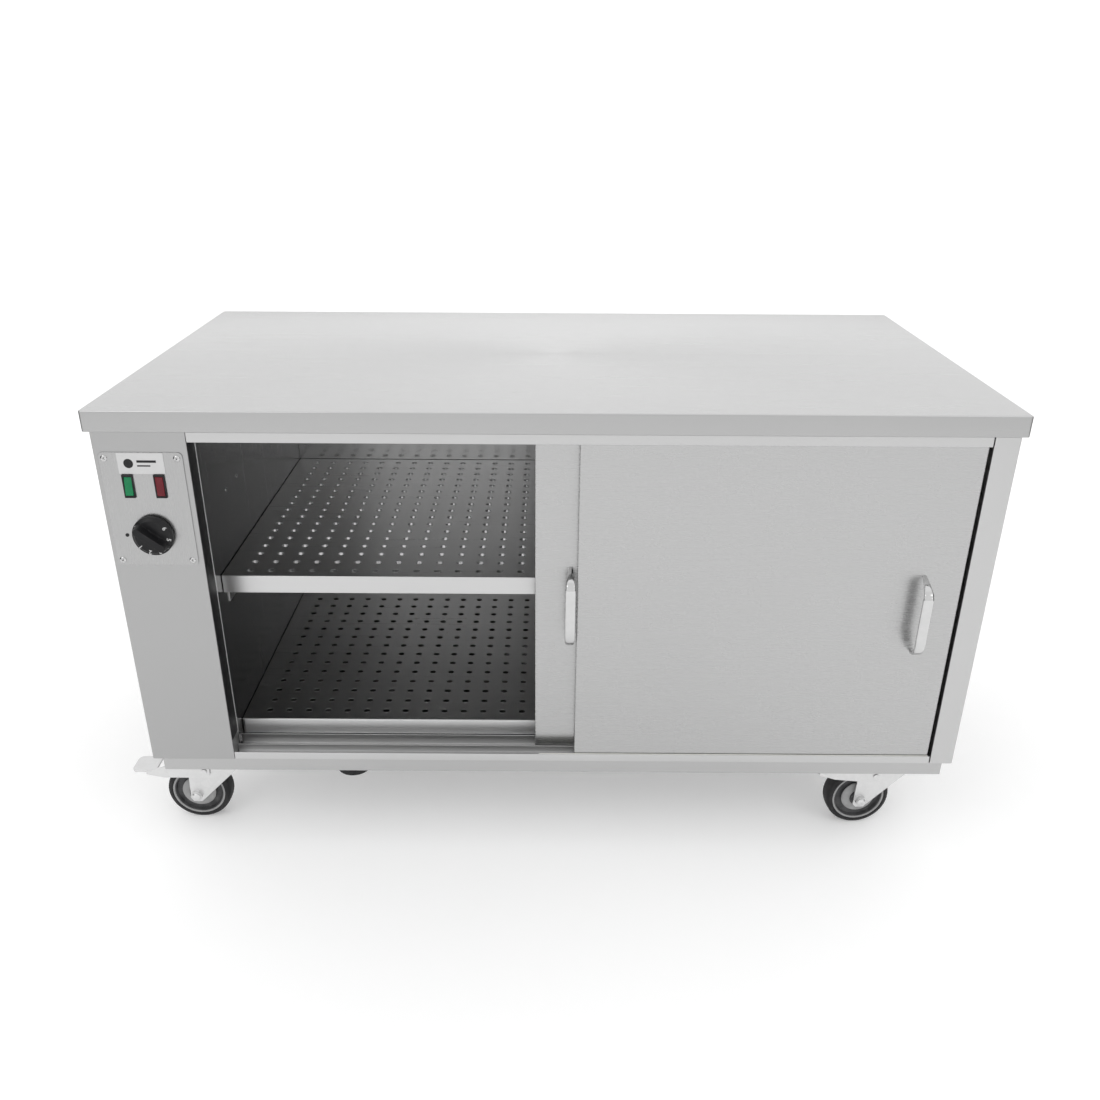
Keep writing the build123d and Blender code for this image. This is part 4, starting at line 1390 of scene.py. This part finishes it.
@dataclass
class ThermostatDial:
    """The thermostat's knob, its numbers and its pointer.

    Attributes:
        ring: Radius of the numbers' ring in millimetres.
        height: Height of the numbers.
        angles: Angle of each number, counter-clockwise from the right, first to last.
        pointer: Angle of the pointer line.
        raised: How far the print stands off the skirt.
        skirt_depth: How far the skirt's face lies in front of the knob's back.
        bold: How much the numbers' strokes are thickened.
        pointer_size: Width, length and thickness of the pointer line.
        pointer_out: How far its middle stands outside the numbers' ring.
        FONT_SCALE: Font size over the height of a number.
    """

    FONT_SCALE: ClassVar[float] = 1.35

    ring: float = 21.9
    height: float = 6.0
    angles: tuple[float, ...] = (-141.0, -104.0, -70.0, -38.0, -9.0, 34.0)
    pointer: float = 142.0
    raised: float = 0.12
    skirt_depth: float = 8.5
    bold: float = 0.22
    pointer_size: tuple[float, float, float] = (1.5, 5.0, 0.24)
    pointer_out: float = 1.2

    def build(self, shop: Workshop) -> None:
        """Makes the dial's pieces.

        Args:
            shop: The workshop that holds the frame and the finishes.
        """
        shop.soften("dial_knob", "thermostat_dial", Slot.KNOB, EdgeRound(0.7, 3, 28))
        shop.carry(Slot.ZINC, "dial_spindle")
        shape = bmesh.new()
        for number, angle in enumerate(self.angles, 1):
            self.add_number(shape, str(number), angle)
        self.add_pointer(shape)
        shop.add("dial_print", frozen(shape, "dial_print"), "thermostat_dial", Slot.LABEL)

    def seat(self, angle: float, radius: float) -> Matrix:
        """Where a mark lies on the skirt.

        Args:
            angle: Degrees counter-clockwise from the right.
            radius: Distance from the spindle's axis in millimetres.

        Returns:
            The matrix that puts a mark drawn in XY there, its top facing outwards.
        """
        low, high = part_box("dial_knob")
        centre = (low + high) / 2
        turn = math.radians(angle)
        skirt = high.y - self.skirt_depth * MM
        where = Vector((centre.x + radius * MM * math.cos(turn), skirt - self.raised * MM,
                        centre.z + radius * MM * math.sin(turn)))
        return (Matrix.Translation(where) @ Matrix.Rotation(math.radians(90), 4, "X")
                @ Matrix.Rotation(turn - math.pi / 2, 4, "Z"))

    def add_number(self, shape: Shape, text: str, angle: float) -> None:
        """Adds one number to the print.

        Args:
            shape: The print so far.
            text: The number.
            angle: Its place on the ring.
        """
        curve = bpy.data.curves.new(f"number_{text}", "FONT")
        curve.body = text
        curve.size = self.height * self.FONT_SCALE * MM
        curve.align_x, curve.align_y = "CENTER", "CENTER"
        curve.extrude = self.raised * MM
        curve.offset = self.bold * MM
        curve.resolution_u = 3
        mesh = settled(linked(f"number_{text}", curve), f"number_{text}")
        mesh.transform(self.seat(angle, self.ring))
        shape.from_mesh(mesh)

    def add_pointer(self, shape: Shape) -> None:
        """Adds the white pointer line to the print.

        Args:
            shape: The print so far.
        """
        seat = self.seat(self.pointer, self.ring + self.pointer_out)
        size = Vector(self.pointer_size) * MM
        add_block(shape, seat @ Matrix.LocRotScale(None, None, size))


@dataclass
class BowHandle:
    """A plated bow handle, swept from foot to head with a section that swells at the grip.

    Attributes:
        stations: The sweep as (stand-off from the door, Z, half width, half thickness), all in
            millimetres, from the foot up.
        sides: Points round the section.
        squareness: Exponent of the section's outline; 2 is an ellipse.
    """

    stations: tuple[tuple[float, float, float, float], ...] = (
        (-0.6, 353.2, 3.6, 1.6), (3.0, 352.4, 4.0, 1.7), (8.0, 352.8, 4.7, 1.9),
        (13.0, 354.6, 5.3, 2.1), (18.0, 357.4, 5.8, 2.3), (22.0, 360.6, 6.3, 2.4),
        (25.4, 364.6, 6.7, 2.5), (27.6, 369.4, 7.0, 2.6), (28.4, 375.0, 7.1, 2.6),
        (28.4, 385.0, 7.2, 2.6), (28.4, 400.0, 7.2, 2.6), (28.4, 420.0, 7.2, 2.6),
        (28.4, 440.0, 7.1, 2.6), (28.3, 446.6, 7.0, 2.6), (28.2, 447.2, 6.5, 2.1),
        (27.8, 447.9, 6.5, 2.1), (27.5, 448.5, 6.8, 2.5), (25.6, 451.2, 6.3, 2.4),
        (20.5, 455.2, 5.4, 2.2), (14.0, 459.4, 4.4, 2.0), (8.0, 462.6, 3.7, 1.8),
        (3.0, 465.0, 3.2, 1.7), (-0.6, 466.4, 3.0, 1.6))
    sides: int = 22
    squareness: float = 3.2

    def section(self, half_width: float, half_thickness: float) -> list[tuple[float, float]]:
        """The rounded outline of one section.

        Args:
            half_width: Half its width.
            half_thickness: Half its thickness.

        Returns:
            The points as (across, through), in the same unit.
        """
        points = []
        power = 2 / self.squareness
        for i in range(self.sides):
            turn = 2 * math.pi * i / self.sides
            across, through = math.cos(turn), math.sin(turn)
            points.append((math.copysign(abs(across) ** power, across) * half_width,
                           math.copysign(abs(through) ** power, through) * half_thickness))
        return points

    def mesh(self, name: str, node: str) -> Mesh:
        """The handle as one closed mesh.

        Args:
            name: The mesh's name.
            node: The CAD node it stands for, which gives its place.

        Returns:
            The mesh.
        """
        low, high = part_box(node)
        middle = (low.x + high.x) / 2
        shape = bmesh.new()
        rings = []
        for i, (off, height, half_width, half_thickness) in enumerate(self.stations):
            before = self.stations[max(i - 1, 0)]
            after = self.stations[min(i + 1, len(self.stations) - 1)]
            run = Vector((0.0, before[0] - after[0], after[1] - before[1])).normalized()
            out = Vector((1.0, 0.0, 0.0)).cross(run)
            centre = Vector((middle, high.y - off * MM, height * MM))
            rings.append([shape.verts.new(centre + Vector((u * MM, 0, 0)) + out * v * MM)
                          for u, v in self.section(half_width, half_thickness)])
        for near, far in zip(rings, rings[1:]):
            for i in range(self.sides):
                k = (i + 1) % self.sides
                shape.faces.new((near[i], near[k], far[k], far[i]))
        shape.faces.new(rings[0])
        shape.faces.new(rings[-1])
        bmesh.ops.recalc_face_normals(shape, faces=shape.faces)
        return frozen(shape, name, HANDLE_BEND)


class Side(Enum):
    """Which of the two doors it is."""

    LEFT = "left"
    RIGHT = "right"


@dataclass
class SlidingDoor:
    """One of the two sliding doors.

    Attributes:
        side: Which one.
        fold: Rounding of its sheets.
        handle: Its handle.
    """

    side: Side
    fold: EdgeRound = EdgeRound(0.5, 3)
    handle: BowHandle = field(default_factory=BowHandle)

    def build(self, shop: Workshop) -> None:
        """Makes the door's pieces.

        Args:
            shop: The workshop that holds the frame and the finishes.
        """
        body = f"{self.side.value}_door"
        shop.soften(f"{body}_skin", body, Slot.DOOR, self.fold)
        shop.soften(f"{body}_liner", body, Slot.LINER, self.fold)
        name = f"{body}_bow"
        shop.add(name, self.handle.mesh(name, f"{body}_handle"), body, Slot.CHROME,
                 (f"{body}_handle",))
        shop.carry(Slot.NYLON, f"{body}_glides")


@dataclass
class Castor:
    """A swivel castor, with a brake pedal on the front ones.

    Attributes:
        corner: Its place, such as front_left.
        turn: Degrees by which it is turned at rest.
        braked: Whether it has a pedal.
        pressed: Rounding of the pressed fork and pedal.
        tyre: Outline of the tyre as (radius, offset) in millimetres, on one side.
        trim: Outline of the grey ring on the rim.
        face: Outline of the wheel centre's grey face.
        cap: Outline of the domed cap on the axle's end.
        TREAD_RADIUS: Radius of the tyre in millimetres.
        RING_STEPS: Faces round the small rings.
    """

    TREAD_RADIUS: ClassVar[float] = 50.0
    RING_STEPS: ClassVar[int] = 56

    corner: str
    turn: float = 0.0
    braked: bool = False
    pressed: EdgeRound = EdgeRound(0.6, 2, 30)
    tyre: tuple[tuple[float, float], ...] = (
        (40.3, 12.9), (41.6, 13.5), (43.0, 13.8), (43.5, 14.0), (44.2, 14.0), (44.6, 13.7),
        (46.6, 13.2), (48.2, 12.0), (49.2, 10.2), (49.7, 7.5), (49.95, 4.0))
    trim: tuple[tuple[float, float], ...] = (
        (38.2, 12.5), (41.0, 12.5), (41.0, 13.6), (40.4, 14.0), (39.0, 14.0), (38.2, 13.4))
    face: tuple[tuple[float, float], ...] = (
        (14.3, 12.0), (24.4, 10.6), (26.2, 10.8), (26.4, 11.8), (25.4, 13.0), (22.6, 14.0),
        (18.0, 15.0), (14.3, 15.2))
    cap: tuple[tuple[float, float], ...] = (
        (0.6, 28.6), (7.2, 28.6), (7.2, 29.6), (6.2, 30.8), (3.8, 31.6), (0.6, 31.9))

    def build(self, shop: Workshop) -> None:
        """Makes the castor's pieces.

        Args:
            shop: The workshop that holds the frame and the finishes.
        """
        name = f"castor_{self.corner}"
        shop.soften(f"{name}_fork", f"{self.corner}_fork", Slot.ZINC, self.pressed)
        shop.carry(Slot.WHEEL, f"{name}_hub")
        if self.braked:
            shop.soften(f"{name}_pedal", f"{self.corner}_pedal", Slot.ZINC, self.pressed)
        low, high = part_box(f"{name}_tyre")
        centre = (low + high) / 2
        far_side = [(r, -y) for r, y in reversed(self.tyre)]
        outline = [*self.tyre, (self.TREAD_RADIUS, 0.0), *far_side]
        shop.add(f"{name}_tread", lathe(f"{name}_tread", outline, centre, self.turn),
                 f"{self.corner}_wheel", Slot.RUBBER, (f"{name}_tyre",))
        for part, outline, body, slot in (("rim_trim", self.trim, "wheel", Slot.WHEEL),
                                          ("hub_face", self.face, "wheel", Slot.WHEEL),
                                          ("axle_cap", self.cap, "fork", Slot.ZINC)):
            piece = shop.add(f"{name}_{part}", self.paired(f"{name}_{part}", outline, centre),
                             f"{self.corner}_{body}", slot)
            if slot is Slot.WHEEL:
                restyled(piece, "grey_nylon", GREY_NYLON)

    def paired(self, name: str, outline: Sequence[tuple[float, float]],
               centre: Vector) -> Mesh:
        """A turned ring on each side of the wheel.

        Args:
            name: The mesh's name.
            outline: The ring's outline as (radius, offset) in millimetres, on one side.
            centre: The wheel's middle.

        Returns:
            The mesh.
        """
        shape = bmesh.new()
        for side in (1, -1):
            mirrored = [(r, side * y) for r, y in outline]
            shape.from_mesh(lathe("ring_draft", mirrored, centre, self.turn, self.RING_STEPS))
        return frozen(shape, name, RING_BEND)


# ---------------------------------------------------------------- studio


@dataclass(frozen=True)
class SoftLight:
    """A rectangular studio light.

    Attributes:
        name: Its name.
        place: Where it stands, in metres.
        aim: What it points at.
        size: Width and height in metres.
        power: Watts.
    """

    name: str
    place: tuple[float, float, float]
    aim: tuple[float, float, float]
    size: tuple[float, float]
    power: float

    def hang(self) -> None:
        """Makes the light."""
        lamp = bpy.data.lights.new(self.name, "AREA")
        lamp.shape = "RECTANGLE"
        lamp.size, lamp.size_y = self.size
        lamp.energy = self.power
        holder = linked(self.name, lamp)
        holder.location = self.place
        holder.rotation_euler = (Vector(self.aim) - Vector(self.place)).to_track_quat(
            "-Z", "Y").to_euler()


@dataclass
class Studio:
    """The floor, the light and the camera.

    Attributes:
        lights: The soft lights.
        sky: Strength of the even light from all round.
        floor_tone: Grey of the floor.
        floor_glow: Light that the floor gives off, as a lit table does.
        flag_x: How far to each side the dark cards stand, in metres.
        flag_corners: Corners of a card as (Y, Z).
        floor_width: Half the floor's width.
        floor_front: Y of the floor's front edge.
        curve_start: Y at which it curves up.
        curve_radius: Radius of that curve.
        wall_top: Height of the backdrop.
        eye: The camera's place.
        right: Its right-hand direction.
        up: Its upward direction.
        lens: Focal length in millimetres.
        shift: Lens shift.
        SENSOR: Width of the sensor in millimetres.
    """

    SENSOR: ClassVar[float] = 36.0

    lights: tuple[SoftLight, ...] = (
        SoftLight("key", (-2.2, -2.6, 3.0), (0, 0, 0.4), (2.2, 1.6), 16),
        SoftLight("fill", (2.6, -2.2, 2.4), (0, 0, 0.4), (1.8, 1.6), 8),
        SoftLight("top", (0.0, 0.4, 3.4), (0, 0, 0.5), (4.4, 3.0), 5),
    )
    sky: float = 0.98
    floor_tone: float = 0.88
    floor_glow: float = 0.2
    flag_x: float = 2.4
    flag_corners: tuple[tuple[float, float], ...] = ((-1.7, 0.05), (0.6, 0.05), (0.6, 1.8),
                                                     (-1.7, 1.8))
    floor_width: float = 12.0
    floor_front: float = -9.0
    curve_start: float = 5.0
    curve_radius: float = 2.5
    wall_top: float = 7.0
    eye: tuple[float, float, float] = (-0.00869, -1.59325, 1.05376)
    right: tuple[float, float, float] = (0.99997879, 0.00426185, 0.00492518)
    up: tuple[float, float, float] = (-0.00630737, 0.44509615, 0.89546057)
    lens: float = 33.905
    shift: tuple[float, float] = (0.0039, 0.0490)

    def build(self) -> None:
        """Sets up the whole studio."""
        self.lay_floor()
        for light in self.lights:
            light.hang()
        self.light_sky()
        self.stand_flags()
        self.set_camera()

    def stand_flags(self) -> None:
        """Stands a dark card at each side, which shows in polished parts only."""
        sheet = ShaderSheet("studio_flag")
        weave = sheet.noise(sheet.place, scale=40.0, detail=3)
        sheet.drive("Base Color", sheet.tinted(weave, grey(0.004), grey(0.012)))
        sheet.fixed(Roughness=0.9, Specular_IOR_Level=0.0)
        for side in (-1, 1):
            shape = bmesh.new()
            corners = [shape.verts.new((side * self.flag_x, y, z)) for y, z in self.flag_corners]
            shape.faces.new(corners if side < 0 else corners[::-1])
            mesh = frozen(shape, f"studio_flag_{side}")
            mesh.materials.append(sheet.material)
            card = linked(f"studio_flag_{side}", mesh)
            card.visible_camera = False
            card.visible_diffuse = False
            card.visible_shadow = False

    def lay_floor(self) -> None:
        """Lays a pale floor that curves up into a backdrop."""
        shape = bmesh.new()
        start, radius = self.curve_start, self.curve_radius
        turns = [math.radians(a) for a in range(6, 91, 6)]
        section = [(self.floor_front, 0.0), (start, 0.0),
                   *((start + radius * math.sin(t), radius - radius * math.cos(t))
                     for t in turns), (start + radius, self.wall_top)]
        rows = [[shape.verts.new((x, y, z)) for x in (-self.floor_width, self.floor_width)]
                for y, z in section]
        for near, far in zip(rows, rows[1:]):
            shape.faces.new((near[0], near[1], far[1], far[0]))
        mesh = frozen(shape, "studio_floor")
        mesh.shade_smooth()
        floor = linked("studio_floor", mesh)
        sheet = ShaderSheet("studio_paper")
        tone = self.floor_tone
        grain = sheet.noise(sheet.place, scale=3.0, detail=4)
        sheet.drive("Base Color", sheet.tinted(grain, grey(tone * 0.985), grey(tone)))
        sheet.fixed(Roughness=0.95, Emission_Color=(1.0, 1.0, 1.0, 1.0),
                    Emission_Strength=self.floor_glow)
        mesh.materials.append(sheet.material)

    def light_sky(self) -> None:
        """Gives the scene its even surrounding light."""
        scene = bpy.context.scene
        world = bpy.data.worlds.new("studio_air")
        world.use_nodes = True
        air = world.node_tree.nodes["Background"]
        air.inputs["Color"].default_value = (1.0, 1.0, 1.0, 1.0)
        air.inputs["Strength"].default_value = self.sky
        scene.world = world
        scene.view_settings.view_transform = "Standard"

    def set_camera(self) -> None:
        """Stands the camera in front of the cabinet, looking down on it."""
        lens = bpy.data.cameras.new("studio_camera")
        lens.sensor_width = self.SENSOR
        lens.lens = self.lens
        lens.shift_x, lens.shift_y = self.shift
        holder = linked("studio_camera", lens)
        right, up = Vector(self.right), Vector(self.up)
        back = right.cross(up)
        turned = Matrix((right, up, back)).transposed().to_4x4()
        holder.matrix_world = Matrix.Translation(self.eye) @ turned
        bpy.context.scene.camera = holder


def main() -> None:
    """Builds the cabinet's looks around the frame."""
    logging.basicConfig(level=logging.INFO, format="%(name)s: %(message)s")
    shop = Workshop(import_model())
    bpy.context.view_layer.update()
    Carcass().build(shop)
    HeatedCavity().build(shop)
    ControlPanel().build(shop)
    ThermostatDial().build(shop)
    for side in (Side.RIGHT, Side.LEFT):
        SlidingDoor(side).build(shop)
    shop.carry(Slot.ZINC, "castor_plates", "castor_bolts")
    for castor in (Castor("front_left", braked=True),
                   Castor("front_right", turn=4.5, braked=True),
                   Castor("rear_left"), Castor("rear_right")):
        castor.build(shop)
    Studio().build()


if __name__ == "__main__":
    main()
